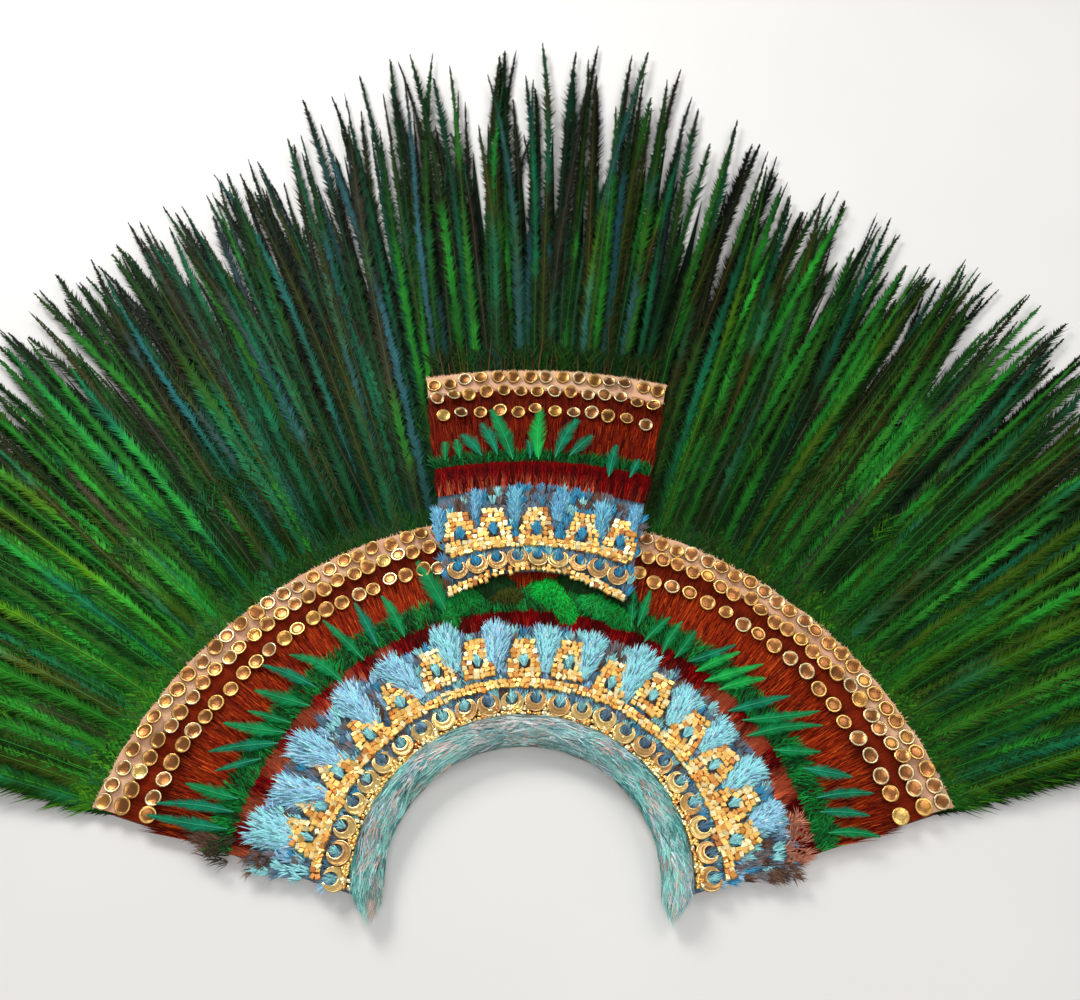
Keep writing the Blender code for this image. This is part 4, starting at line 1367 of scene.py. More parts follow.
@dataclass
class GreenEdge:
    """Green fur along the red band, with pointed green feathers standing off it over the brown field."""

    # base x, base y, tip x, tip y, half width, measured in metres from the fan's centre
    arc_leaves: Table = (
        (-0.272, 0.081, -0.332, 0.091, 0.0048), (-0.268, 0.095, -0.326, 0.101, 0.0044),
        (-0.262, 0.108, -0.302, 0.119, 0.0052), (-0.245, 0.140, -0.278, 0.130, 0.0032),
        (-0.235, 0.155, -0.286, 0.148, 0.0046), (-0.228, 0.168, -0.277, 0.175, 0.0050),
        (-0.222, 0.178, -0.256, 0.187, 0.0036), (-0.208, 0.195, -0.252, 0.207, 0.0056),
        (-0.205, 0.215, -0.249, 0.233, 0.0046), (-0.180, 0.220, -0.224, 0.243, 0.0054),
        (-0.160, 0.245, -0.196, 0.279, 0.0044), (-0.145, 0.260, -0.167, 0.298, 0.0048),
        (-0.120, 0.270, -0.141, 0.306, 0.0052), (-0.080, 0.295, -0.108, 0.344, 0.0086),
        (0.104, 0.280, 0.108, 0.313, 0.0042), (0.112, 0.280, 0.124, 0.312, 0.0042),
        (0.120, 0.262, 0.142, 0.283, 0.0040), (0.135, 0.250, 0.153, 0.278, 0.0040),
        (0.147, 0.245, 0.165, 0.268, 0.0052), (0.165, 0.240, 0.203, 0.254, 0.0040),
        (0.170, 0.230, 0.206, 0.246, 0.0042), (0.180, 0.220, 0.227, 0.234, 0.0044),
        (0.190, 0.210, 0.227, 0.219, 0.0046), (0.200, 0.190, 0.249, 0.202, 0.0046),
        (0.215, 0.180, 0.275, 0.187, 0.0044), (0.217, 0.165, 0.275, 0.173, 0.0046),
        (0.235, 0.150, 0.270, 0.148, 0.0044), (0.260, 0.132, 0.295, 0.125, 0.0050),
        (0.270, 0.107, 0.312, 0.110, 0.0042), (0.270, 0.093, 0.305, 0.090, 0.0040),
        (0.275, 0.075, 0.312, 0.072, 0.0042),
    )
    panel_leaves: Table = (
        (-0.018, 0.472, -0.038, 0.524, 0.0062), (0.014, 0.472, 0.016, 0.524, 0.0062),
        (0.035, 0.472, 0.055, 0.511, 0.0054), (0.050, 0.470, 0.070, 0.490, 0.0048),
        (-0.033, 0.474, -0.048, 0.506, 0.0048), (-0.050, 0.470, -0.068, 0.491, 0.0050),
        (-0.085, 0.464, -0.086, 0.482, 0.0034), (-0.070, 0.466, -0.074, 0.485, 0.0036),
        (0.088, 0.446, 0.096, 0.478, 0.0044), (0.004, 0.466, 0.002, 0.484, 0.0030),
        (0.110, 0.442, 0.119, 0.460, 0.0030),
    )
    stations: int = 54
    cut: VaneCut = VaneCut(
        sweep=40.0, rag=0.09, clumps=9, ripple=0.0004, shaft=0.0011, edge_shade=0.62, stride=4, notch=0.84, close=0.4,
    )
    # middle x, middle y, half length, half width, turn in degrees, strands, tint
    pad_table: tuple[tuple[float, float, float, float, float, int, Tint], ...] = (
        (-0.060, 0.300, 0.021, 0.011, 14.0, 520, Tint.FUR_GREEN),
        (-0.030, 0.316, 0.020, 0.011, 12.0, 520, Tint.FUR_DARK),
        (-0.018, 0.306, 0.017, 0.008, 0.0, 380, Tint.OLIVE),
        (0.022, 0.310, 0.019, 0.012, -22.0, 760, Tint.FUR_BRIGHT),
        (0.040, 0.292, 0.010, 0.017, 12.0, 560, Tint.FUR_BRIGHT),
        (0.068, 0.296, 0.018, 0.010, -30.0, 620, Tint.LEAF_BRIGHT),
        (0.090, 0.284, 0.019, 0.010, -34.0, 460, Tint.FUR_GREEN),
        (0.055, 0.318, 0.024, 0.008, -24.0, 420, Tint.FUR_DARK),
        (0.100, 0.300, 0.020, 0.008, -40.0, 300, Tint.FUR_DARK),
        (-0.072, 0.282, 0.008, 0.014, 16.0, 220, Tint.FUR_GREEN),
    )

    def leaves(self, heap: Heap, table: Table, level: float, wide: float, blunt: float, rng: Rng) -> None:
        """Adds pointed feathers on spines bent by a sine. The half width grows with the root of the way
        over the first 0.3, and after it falls with a power of what is left.

        Args:
            heap: Where they go.
            table: Feathers, as in the fields.
            level: Height of their roots.
            wide: Widths over the table's.
            blunt: The power, lower for a blunter tip.
            rng: Source of their differences.
        """
        rows = np.array(table)
        run = np.linspace(0.0, 1.0, self.stations)[None]
        way = run[..., None]
        base, tip = flat(rows[:, :2]), flat(rows[:, 2:4])
        back = base - (tip - base) * 0.22
        spine = back[:, None] + (tip - back)[:, None] * way
        side = unit(np.cross(unit(tip - back), UP))
        bend = rng.normal(0.0, 0.03, (len(rows), 1, 1)) * np.linalg.norm(tip - back, axis=1)[:, None, None]
        spine = spine + side[:, None] * (bend * np.sin(way * math.pi))
        spine[..., 2] = (
            level + (0.0024 + 0.0030 * np.sin(run * math.pi * 0.8) + rng.uniform(0.0, 0.0012, (len(rows), 1)))
        )
        half = wide * rows[:, 4:5] * np.minimum((run / 0.3) ** 0.5, ((1.0 - run) / 0.7) ** blunt)
        base_tint = picked(rng, len(rows), {Tint.LEAF: 0.55, Tint.LEAF_BRIGHT: 0.1, Tint.LEAF_TEAL: 0.35})
        vane = base_tint[:, None] * wander(rng, len(rows), self.stations, 6, 0.8, 1.25)[..., None]
        rib = blend(base_tint * 1.2, np.broadcast_to(Tint.LEAF_RIB.light, base_tint.shape), np.full(len(rows), 0.22))
        self.cut.add(heap, spine, half, rib[:, None], vane, vane, rng)

    def fur(
        self, heap: Heap, course: Course, depth: float, count: int, level: float, rng: Rng, glow: float = 1.0,
    ) -> None:
        """Adds fur along a line, in clumps that lean together by a sine of their number.

        Args:
            heap: Where it goes.
            course: The line.
            depth: How far out from it the roots lie at most.
            count: Hairs.
            level: Height of the roots.
            rng: Source of their places.
            glow: How bright they are.
        """
        share, out = scattered(rng, count, -0.003, depth)
        clump = np.round(share * 46.0) + 100.0
        lean = 28.0 * np.sin(clump * 12.9898) + rng.normal(0.0, 16.0, count)
        tint = picked(
            rng, count, {Tint.FUR_GREEN: 0.62, Tint.FUR_DARK: 0.18, Tint.LEAF_BRIGHT: 0.26, Tint.GREY_BROWN: 0.03},
        )
        tint = tint * glow * (0.75 + 0.35 * np.sin(clump * 4.1))[:, None] * rng.uniform(0.6, 1.3, (count, 1))
        sites = course.sites(share, out, 0.0, level + rng.uniform(0.0, 0.0022, count))
        # darker roots (0.6 against 1.1 at the tips): painted shade where the hairs lie under others
        strands(
            heap, sites.place, sites.lean(lean), rng.uniform(0.007, 0.0150, count),
            rng.uniform(0.0007, 0.0012, count), tint * 0.6, tint * 1.1, rng.uniform(0.0005, 0.0028, count), -0.0006,
        )

    def pads(self, heap: Heap, rng: Rng) -> None:
        """Adds the furry green pads under the panel. Roots fill an oval by the square root of a random
        number times the sine and cosine of an angle, and the strands fan out along it.

        Args:
            heap: Where they go.
            rng: Source of their places.
        """
        for x, y, long, wide, turn, count, tint in self.pad_table:
            angle, reach = rng.uniform(0.0, 2.0 * math.pi, count), np.sqrt(rng.random(count))
            local = np.stack([long * reach * np.cos(angle), wide * reach * np.sin(angle)], 1)
            cosine, sine = math.cos(math.radians(turn)), math.sin(math.radians(turn))
            right, ahead = local.T
            points = np.stack([x + right * cosine - ahead * sine, y + right * sine + ahead * cosine], 1)
            root = flat(points, 0.0098 + 0.0045 * (1.0 - reach**2) + rng.uniform(0.0, 0.0008, count))
            heading = np.radians(turn + 90.0 + 55.0 * right / long + rng.normal(0.0, 24.0, count))
            aim = np.stack([np.cos(heading), np.sin(heading), np.full(count, 0.04)], 1)
            shade = blend(
                tint.light * rng.uniform(0.6, 1.9, (count, 1)), Tint.OLIVE.light * 0.7,
                (rng.random(count) < 0.16) * 0.8,
            )
            # darker roots (half the tint): painted shade where the strands lie under others
            strands(
                heap, root - aim * 0.004, unit(aim), rng.uniform(0.007, 0.013, count),
                rng.uniform(0.0006, 0.0012, count), shade * 0.5, shade, rng.uniform(0.0006, 0.0026, count), 0.0,
            )

    def build(self) -> None:
        """Builds the arc's edge with its pads, and the panel's edge."""
        rng = np.random.default_rng(31)
        heap = Heap()
        self.fur(heap, RED_OUT, 0.018, 6600, 0.0088, rng)
        self.pads(heap, rng)
        self.leaves(heap, self.arc_leaves, 0.0096, 1.75, 0.75, rng)
        heap.piece("green_edge", LEAF_VANE, "green_band", "green_band")
        heap = Heap()
        # the panel's fur is darkened to 0.62: painted shade
        self.fur(heap, PANEL_RED_OUT, 0.005, 1300, 0.0188, rng, glow=0.62)
        self.leaves(heap, self.panel_leaves, 0.0194, 2.1, 0.6, rng)
        heap.piece("panel_green_edge", LEAF_VANE, "panel_green_band", "panel_green_band")


# -------- red and turquoise bands


@dataclass
class RedBand:
    """Dark red feathers with paler roots, under the green fur."""

    def layer(
        self, name: str, course: Course, depth: float, count: int, top: float, pale: tuple[tuple[float, float], ...],
        flush: float, slot: str, seed: int,
    ) -> None:
        """Lays strands over the band, in locks and streaks by sines of their numbers.

        Args:
            name: The piece's name.
            course: The line that it starts from.
            depth: The band's width.
            count: Strands.
            top: Height of the roots.
            pale: Pairs of shares between which the roots are pale.
            flush: How salmon the tips are there, from 0 to 1.
            slot: The record's material slot.
            seed: Start of the random draws.
        """
        rng = np.random.default_rng(seed)
        share = rng.uniform(-1.0, 1.0, count)
        row = rng.random(count)
        sites = course.sites(
            share, -0.003 + depth * 0.45 * row, 0.0, top + 0.0014 * (1.0 - row) + rng.uniform(0.0, 0.0006, count),
        )
        lock = np.round(share * 60.0)
        streak = np.round(share * 130.0)
        inside = sum((share > low) & (share < high) for low, high in pale)
        patch = np.clip(0.25 + 0.8 * np.sin(streak * 1.7) + 0.6 * np.sin(lock * 5.3), 0.0, 1.0)
        patch = patch * np.clip((0.5 - row) / 0.4, 0.0, 1.0) * np.where(inside, 1.0, 0.15)
        tip = picked(rng, count, {Tint.RED_DARK: 0.8, Tint.RED: 0.2}) * rng.uniform(0.6, 1.2, (count, 1))
        tip = tip * (1.0 + 0.5 * np.sin(lock * 0.9 + 1.0))[:, None]
        blush = inside * flush * np.clip(0.4 + 0.8 * np.sin(lock * 0.8), 0.0, 1.0)
        tip = blend(tip, np.broadcast_to(Tint.RED_ROOT.light * 0.55, tip.shape), blush)
        root = blend(tip * 0.9, np.broadcast_to(Tint.RED_ROOT.light, tip.shape), patch * rng.uniform(0.3, 1.0, count))
        heap = Heap()
        lean = 7.0 * np.sin(lock * 2.3) + rng.normal(0.0, 5.0, count)
        strands(
            heap, sites.place, sites.lean(lean), depth * rng.uniform(0.5, 0.72, count),
            rng.uniform(0.0006, 0.0010, count), root, tip, rng.uniform(0.0004, 0.0020, count), -0.0002,
        )
        heap.piece(name, DOWN, slot)

    def build(self) -> None:
        """Builds both layers."""
        self.layer("red_feathers", BED_OUT, 0.026, 6500, 0.0092, ((-1.0, -0.35), (0.5, 0.9)), 0.5, "red_band", 41)
        self.layer(
            "panel_red_feathers", PANEL_BED_OUT, 0.036, 3000, 0.0194, ((-1.0, 0.5),), 0.0, "panel_red_band", 42,
        )


@dataclass
class TurquoiseBed:
    """Short turquoise, grey and brown feathers round the gold, with brighter tufts between the steps."""

    # tip x, tip y, root x, root y, half width, measured in metres from the fan's centre
    arc_tufts: Table = (
        (-0.246, 0.085, -0.195, 0.070, 0.015), (-0.228, 0.117, -0.170, 0.105, 0.012),
        (-0.218, 0.162, -0.160, 0.135, 0.013), (-0.175, 0.215, -0.135, 0.170, 0.012),
        (-0.138, 0.242, -0.095, 0.200, 0.011), (-0.082, 0.277, -0.066, 0.225, 0.0115),
        (-0.026, 0.281, -0.030, 0.226, 0.0115), (0.024, 0.275, 0.018, 0.226, 0.011),
        (0.072, 0.268, 0.054, 0.220, 0.010), (0.122, 0.252, 0.090, 0.200, 0.012),
        (0.160, 0.210, 0.135, 0.172, 0.0115), (0.192, 0.175, 0.160, 0.150, 0.012),
        (0.217, 0.140, 0.180, 0.112, 0.012), (0.232, 0.096, 0.198, 0.080, 0.012),
    )
    panel_tufts: Table = (
        (-0.012, 0.428, -0.010, 0.386, 0.007), (0.038, 0.424, 0.032, 0.386, 0.008),
        (0.082, 0.412, 0.073, 0.366, 0.008), (-0.050, 0.424, -0.051, 0.388, 0.005),
        (-0.090, 0.405, -0.086, 0.362, 0.005), (0.113, 0.405, 0.108, 0.370, 0.006),
    )

    def bed(
        self, heap: Heap, course: Course, inner: float, outer: float, rows: int, per_row: int, level: float,
        kinds: dict[Tint, float], rng: Rng,
    ) -> None:
        """Adds rows of small feathers from the outer edge inward, each row over the last.

        Args:
            heap: Where they go.
            course: The bed's inner line.
            inner: Metres out from it to the last row.
            outer: Metres out from it to the first row.
            rows: Number of rows.
            per_row: Feathers in a row.
            level: Height of their roots.
            kinds: Weight of each tint.
            rng: Source of their differences.
        """
        for row in range(rows):
            out = outer + (inner - outer) * row / max(rows - 1, 1)
            share = course.even(per_row, -0.985, 0.985) + rng.normal(0.0, 0.004, per_row)
            sites = course.sites(
                share, out + rng.normal(0.0, 0.002, per_row), 0.0, level + (0.0009 if row < 2 else 0.0),
            )
            tint = picked(rng, per_row, kinds)
            tufts(heap, rng, sites, 15, rng.normal(0.0, 15.0, per_row), 22.0, 0.014, 0.0012, tint, 0.0018)

    def bright(self, heap: Heap, table: Table, level: float, each: int, deep: float, rng: Rng) -> None:
        """Adds full bright tufts: strands that start along the tuft and part towards its tip.

        Args:
            heap: Where they go.
            table: Tufts, as in the fields.
            level: Height of their roots.
            each: Strands in one.
            deep: How cerulean they are, from 0 to 1.
            rng: Source of their differences.
        """
        for x, y, root_x, root_y, half in table:
            tip, root = flat([x, y]), flat([root_x, root_y])
            axis = tip - root
            length = float(np.linalg.norm(axis))
            axis = axis / length
            side = np.cross(axis, UP)
            back, off = rng.random(each) ** 1.2, rng.uniform(-1.0, 1.0, each)
            spread = half * (0.4 + 0.6 * np.sin(np.clip(back * 1.15 + 0.12, 0.0, 1.0) * math.pi / 2.0))
            start = root + axis * (back * 0.76 * length)[:, None] + side * (off * spread)[:, None]
            start[:, 2] = (
                level + 0.0065 * (1.0 - off**2) * np.sin(np.clip(back + 0.15, 0.0, 1.0) * math.pi / 1.6)
                + rng.uniform(0.0, 0.0012, each)
            )
            lean = off * (8.0 + 14.0 * back) + rng.normal(0.0, 11.0, each)
            angle = np.radians(lean)[:, None]
            aim = unit(axis * np.cos(angle) + side * np.sin(angle) + UP * rng.uniform(-0.12, 0.1, (each, 1)))
            kinds = {Tint.TURQUOISE: 0.8, Tint.SKY: 0.15, Tint.PALE_BLUE: 0.05, Tint.BLUE_GREY: 0.1}
            if rng.random() < 0.4:
                kinds = {Tint.SKY: 0.65, Tint.TURQUOISE: 0.3, Tint.PALE_BLUE: 0.05, Tint.BLUE_GREY: 0.1}
            tint = picked(rng, each, kinds) * rng.uniform(0.95, 1.45, (each, 1))
            tint = blend(tint, np.broadcast_to(Tint.CERULEAN.light, tint.shape), deep * rng.uniform(0.5, 1.0, each))
            dark = rng.random(each) < 0.12
            tint = blend(tint, np.broadcast_to(Tint.BLUE_GREY.light * 0.5, tint.shape), dark * 0.7)
            reach = length * rng.uniform(0.15, 0.29, each) * (1.05 - 0.25 * off**2)
            # darker roots (0.72 of the tint): painted shade where the strands lie under others
            strands(
                heap, start, aim, reach, rng.uniform(0.0008, 0.0014, each), tint * 0.72, tint,
                rng.uniform(0.0004, 0.0016, each), 0.0004,
            )

    def build(self) -> None:
        """Builds the arc's feathers and the panel's."""
        rng = np.random.default_rng(51)
        heap = Heap()
        mixed = {
            Tint.BLUE_GREY: 0.34, Tint.TURQUOISE: 0.24, Tint.SKY: 0.12, Tint.CERULEAN: 0.08, Tint.GREY: 0.2,
            Tint.BROWN: 0.1,
        }
        self.bed(heap, TRIM_OUT, 0.008, 0.081, 9, 112, 0.0092, mixed, rng)
        self.bright(heap, self.arc_tufts, 0.0100, 800, 0.12, rng)
        heap.piece("turquoise_feathers", DOWN, "turquoise_bed")
        heap = Heap()
        mixed = {Tint.BLUE_GREY: 0.3, Tint.TURQUOISE: 0.08, Tint.CERULEAN: 0.3, Tint.GREY: 0.2, Tint.BROWN: 0.12}
        self.bed(heap, PANEL_FOOT, 0.004, 0.086, 9, 42, 0.0196, mixed, rng)
        self.bright(heap, self.panel_tufts, 0.0198, 360, 0.85, rng)
        heap.piece("panel_turquoise_feathers", DOWN, "panel_turquoise_bed")


# -------- gold


@dataclass(frozen=True)
class Plates:
    """Small gold plates, each a square with chamfered sides, that lie a little askew."""

    size: float = 0.0053
    height: float = 0.0014

    def add(self, heap: Heap, sites: Sites, rng: Rng, scale: float = 1.0) -> None:
        """Adds plates: a lower and a smaller upper square, turned and tipped at random, with closed sides.

        Args:
            heap: Where they go.
            sites: Their places.
            rng: Source of their differences.
            scale: Sizes over the field's.
        """
        count = len(sites.place)
        turn = np.radians(rng.normal(0.0, 22.0, count))[:, None]
        across = sites.along * np.cos(turn) + sites.outward * np.sin(turn)
        along = -sites.along * np.sin(turn) + sites.outward * np.cos(turn)
        size = self.size * scale * 0.5 * rng.uniform(0.72, 1.28, (count, 2))
        spot = sites.place + sites.along * rng.normal(0.0, 0.0004, (count, 1))
        spot = spot + sites.outward * rng.normal(0.0, 0.0004, (count, 1))
        sign = np.array([[-1, -1], [1, -1], [1, 1], [-1, 1]], float)
        tilt = rng.normal(0.0, 0.16, (count, 2))
        lift = rng.uniform(0.0, 0.0008, (count, 1))
        layers = []
        for level, shrink in ((0.0, 1.0), (1.0, 0.74)):
            x, y = sign[None, :, 0] * size[:, :1] * shrink, sign[None, :, 1] * size[:, 1:] * shrink
            z = self.height * level + x * tilt[:, :1] + y * tilt[:, 1:] + 0.0005 + lift
            flat_place = spot[:, None] + across[:, None] * x[..., None] + along[:, None] * y[..., None]
            layers.append(flat_place + UP * z[..., None])
        k = np.arange(4)
        after = (k + 1) % 4
        quads = np.concatenate([np.stack([k, after, after + 4, k + 4], 1), [[4, 5, 6, 7], [3, 2, 1, 0]]])
        tint = picked(rng, count, {Tint.GOLD: 0.52, Tint.GOLD_PALE: 0.3, Tint.GOLD_DEEP: 0.14, Tint.COPPER: 0.04})
        heap.stamp(np.concatenate(layers, 1), tint[:, None], quads)


@dataclass(frozen=True)
class Crescents:
    """Raised gold crescents with their horns outward, each round a small grey blue feather."""

    radius: float = 0.0108
    hole: float = 0.0054
    shift: float = 0.0034
    stations: int = 22
    horn_turn: float = 2.72
    # share of the way from the outer edge to the inner one, height in millimetres, share of pale gold, a painted
    # highlight that peaks on the raised rims
    profile: tuple[tuple[float, float, float], ...] = (
        (0.0, 0.0, 0.0), (0.1, 1.7, 1.0), (0.3, 0.9, 0.0), (0.5, 1.25, 0.5), (0.7, 0.9, 0.0), (0.9, 1.9, 1.0),
        (1.0, 0.0, 0.0),
    )

    def add(self, heap: Heap, sites: Sites, rng: Rng) -> None:
        """Adds crescents. The outer edge is a circle, the inner edge a smaller one moved outward, and the
        profile's heights run from one edge to the other. Towards the horns the section shrinks to its
        middle by the root of one less the seventh power of the turn.

        Args:
            heap: Where they go.
            sites: Their places.
            rng: Source of their differences.
        """
        count = len(sites.place)
        share, height, pale = np.array(self.profile).T
        rows, columns = self.stations, len(share)
        turn = np.linspace(-self.horn_turn, self.horn_turn, rows)[:, None]
        closing = np.sqrt(np.clip(1.0 - (np.abs(turn) / (self.horn_turn + 0.06)) ** 7, 0.0, 1.0))
        circle = np.stack([np.sin(turn), -np.cos(turn)], -1)
        across = (0.5 + (share[None] - 0.5) * closing)[..., None]
        flat_shape = (
            circle * self.radius * (1.0 - across) + (circle * self.hole + np.array([0.0, self.shift])) * across
        )
        z = height[None] * 0.001 * closing + 0.0002
        shape = np.concatenate([flat_shape, z[..., None]], -1).reshape(-1, 3)
        tilt = rng.normal(0.0, 0.10, (count, 2))
        spin = np.radians(rng.normal(0.0, 12.0, count))[:, None]
        scale = rng.uniform(0.92, 1.06, (count, 1))
        x = (shape[None, :, 0] * np.cos(spin) - shape[None, :, 1] * np.sin(spin)) * scale
        y = (shape[None, :, 0] * np.sin(spin) + shape[None, :, 1] * np.cos(spin)) * scale
        level = shape[None, :, 2] + x * tilt[:, :1] + y * tilt[:, 1:]
        place = sites.place[:, None] + sites.along[:, None] * x[..., None] + sites.outward[:, None] * y[..., None]
        place = place + UP * level[..., None]
        start = np.arange(rows - 1) * columns
        first = (start[:, None] + np.arange(columns - 1)).ravel()
        quads = np.stack([first, first + columns, first + columns + 1, first + 1], 1)[:, ::-1]
        under = np.stack([start, start + columns - 1, start + 2 * columns - 1, start + columns], 1)[:, ::-1]
        # the crescents' gold is darkened to 0.8, with pale gold on the raised rims as a painted highlight
        tint = picked(rng, count, {Tint.GOLD: 0.45, Tint.GOLD_DEEP: 0.55})
        glow = np.broadcast_to(np.tile(pale, rows), (count, rows * columns))
        heap.stamp(place, blend(tint[:, None] * 0.80, Tint.GOLD_PALE.light, glow * 0.6), quads, under)


@dataclass
class GoldWork:
    """Stepped shapes of small plates on a line of plates, crescents, and the plate hems."""

    plates: Plates = Plates()
    crescents: Crescents = Crescents()
    pitch: float = 0.0046
    crescent_count: int = 24
    panel_crescent_count: int = 9
    # metres out from the foot, half width in plates, half width of the hole in plates
    steps: tuple[tuple[float, float, float], ...] = (
        (0.0026, 3.0, 0.0), (0.0070, 3.0, 0.0), (0.0114, 3.0, 1.0), (0.0158, 3.0, 1.0), (0.0202, 2.5, 0.9),
        (0.0246, 2.5, 0.0), (0.0290, 2.0, 0.0), (0.0334, 2.0, 0.0),
    )
    # step centres, measured in metres from the fan's centre
    arc_steps: tuple[tuple[float, float], ...] = (
        (-0.190, 0.073), (-0.181, 0.100), (-0.168, 0.130), (-0.143, 0.166), (-0.116, 0.198), (-0.084, 0.229),
        (-0.045, 0.239), (0.0, 0.240), (0.043, 0.238), (0.083, 0.217), (0.122, 0.204), (0.152, 0.168), (0.174, 0.137),
        (0.189, 0.103), (0.187, 0.070),
    )
    panel_steps: tuple[tuple[float, float], ...] = (
        (-0.066, 0.3735), (-0.0315, 0.379), (0.012, 0.380), (0.058, 0.373), (0.096, 0.364),
    )

    def step_sites(self, centre: tuple[float, float], scale: float, level: float) -> Sites:
        """Sites of a step's plates: its rows, evenly filled on both sides of the hole.

        Args:
            centre: Its middle, from the fan's centre.
            scale: Its size over the field's.
            level: Height of the plates.

        Returns:
            The sites.
        """
        middle = Sites.facing(flat([centre], level), math.atan2(*centre))
        cells = []
        for out, half, hole in self.steps:
            places = np.arange(-half + 0.5, half, 1.0)
            cells += [(out, place) for place in places if abs(place) > hole or hole == 0.0]
        table = np.array(cells)
        place = middle.place + middle.outward * ((table[:, :1] - 0.018) * scale)
        place = place + middle.along * (table[:, 1:] * self.pitch * scale)
        return Sites.facing(place, math.atan2(*centre))

    def heart(
        self, heap: Heap, centre: tuple[float, float], scale: float, level: float, tint: Tint, rng: Rng,
    ) -> None:
        """Adds the small blue feather in a step's hole.

        Args:
            heap: Where it goes.
            centre: The step's middle, from the fan's centre.
            scale: The step's size over the field's.
            level: Height of its root.
            tint: Its colour.
            rng: Source of its spread.
        """
        middle = Sites.facing(flat([centre], level), math.atan2(*centre))
        place = np.repeat(middle.place - middle.outward * 0.008 * scale, 5, 0)
        sites = Sites.facing(place, math.atan2(*centre))
        tufts(
            heap, rng, sites, 12, rng.normal(0.0, 8.0, 5), 14.0, 0.0125 * scale, 0.0012,
            np.repeat(tint.light[None], 5, 0), 0.0022,
        )

    def nests(self, heap: Heap, sites: Sites, tint: Tint, rng: Rng) -> None:
        """Adds the small feathers that the crescents lie round.

        Args:
            heap: Where they go.
            sites: The crescents' places.
            tint: The colour of about half of them; the others are blue grey.
            rng: Source of their spread.
        """
        count = len(sites.place)
        inner = Sites(sites.place - sites.outward * 0.001, sites.outward, sites.along)
        tufts(
            heap, rng, inner, 14, rng.normal(0.0, 10.0, count), 24.0, 0.0105, 0.0010,
            picked(rng, count, {Tint.BLUE_GREY: 0.5, tint: 0.5}), 0.0026,
        )

    def line(
        self, heap: Heap, course: Course, outs: tuple[float, ...], pitch: float, level: float, rng: Rng,
        start: float = -0.985, end: float = 0.985,
    ) -> None:
        """Adds rows of plates along a line.

        Args:
            heap: Where they go.
            course: The line.
            outs: Each row's metres out from it.
            pitch: Metres from plate to plate.
            level: Height of the plates.
            rng: Source of their differences.
            start: The first share.
            end: The last share.
        """
        for out in outs:
            fine = course.sites(np.linspace(start, end, 200), out).place
            count = int(np.linalg.norm(np.diff(fine, axis=0), axis=1).sum() / pitch)
            share = course.even(count, start, end)
            self.plates.add(heap, course.sites(share, out + rng.normal(0.0, 0.0004, count), 0.0, level), rng)

    def build(self) -> None:
        """Builds the arc's gold, then the panel's."""
        rng = np.random.default_rng(61)
        heap, hearts = Heap(), Heap()
        for centre in self.arc_steps:
            self.plates.add(heap, self.step_sites(centre, 1.12, 0.0122), rng, 1.1)
            self.heart(hearts, centre, 1.0, 0.0126, Tint.TURQUOISE, rng)
        self.line(heap, STEP_FOOT, (0.0030, 0.0076), 0.0045, 0.0118, rng)
        heap.piece("gold_steps", GOLD_LEAF, "step_band", "step_band")
        heap = Heap()
        hem = ArcCourse(TRIM_OUT.crown + 0.0035, TRIM_OUT.ends + 0.0035)
        self.line(heap, hem, (0.0, 0.0045), self.pitch, 0.0112, rng)
        count = self.crescent_count
        sites = CRESCENTS.sites(CRESCENTS.even(count, -0.975, 0.975), rng.normal(0.0, 0.0008, count), 0.0, 0.0126)
        self.crescents.add(heap, sites, rng)
        heap.piece("gold_crescents", GOLD_SATIN, "crescent_band", "crescent_band", smooth=True)
        self.nests(hearts, sites, Tint.TURQUOISE, rng)
        hearts.piece("gold_hearts", DOWN, "turquoise_bed")

        heap, hearts = Heap(), Heap()
        for centre in self.panel_steps:
            self.plates.add(heap, self.step_sites(centre, 1.24, 0.0218), rng, 1.15)
            self.heart(hearts, centre, 1.15, 0.0222, Tint.CERULEAN, rng)
        self.line(heap, PANEL_STEP_FOOT, (-0.0010, 0.0036), 0.0045, 0.0214, rng, -0.9, 0.9)
        heap.piece("panel_gold_steps", GOLD_LEAF, "panel_steps", "panel_steps")
        heap = Heap()
        shares = PANEL_CRESCENTS.even(self.panel_crescent_count, -0.86, 0.86)
        sites = PANEL_CRESCENTS.sites(shares, 0.0022, 0.0, 0.0222)
        self.crescents.add(heap, sites, rng)
        heap.piece("panel_gold_crescents", GOLD_SATIN, "panel_crescents", "panel_crescents", smooth=True)
        self.nests(hearts, sites, Tint.CERULEAN, rng)
        hearts.piece("panel_gold_hearts", DOWN, "panel_turquoise_bed")
        heap = Heap()
        for start, end, shift in (
            (-0.96, -0.56, -0.002), (-0.54, -0.30, 0.0), (-0.22, 0.34, 0.002), (0.38, 0.96, -0.002),
        ):
            self.line(heap, PANEL_FOOT, (-0.003 + shift, 0.0016 + shift), 0.0045, 0.0206, rng, start, end)
        heap.piece("panel_gold_hem", GOLD_LEAF, "panel_hem", "panel_hem")


# -------- trim


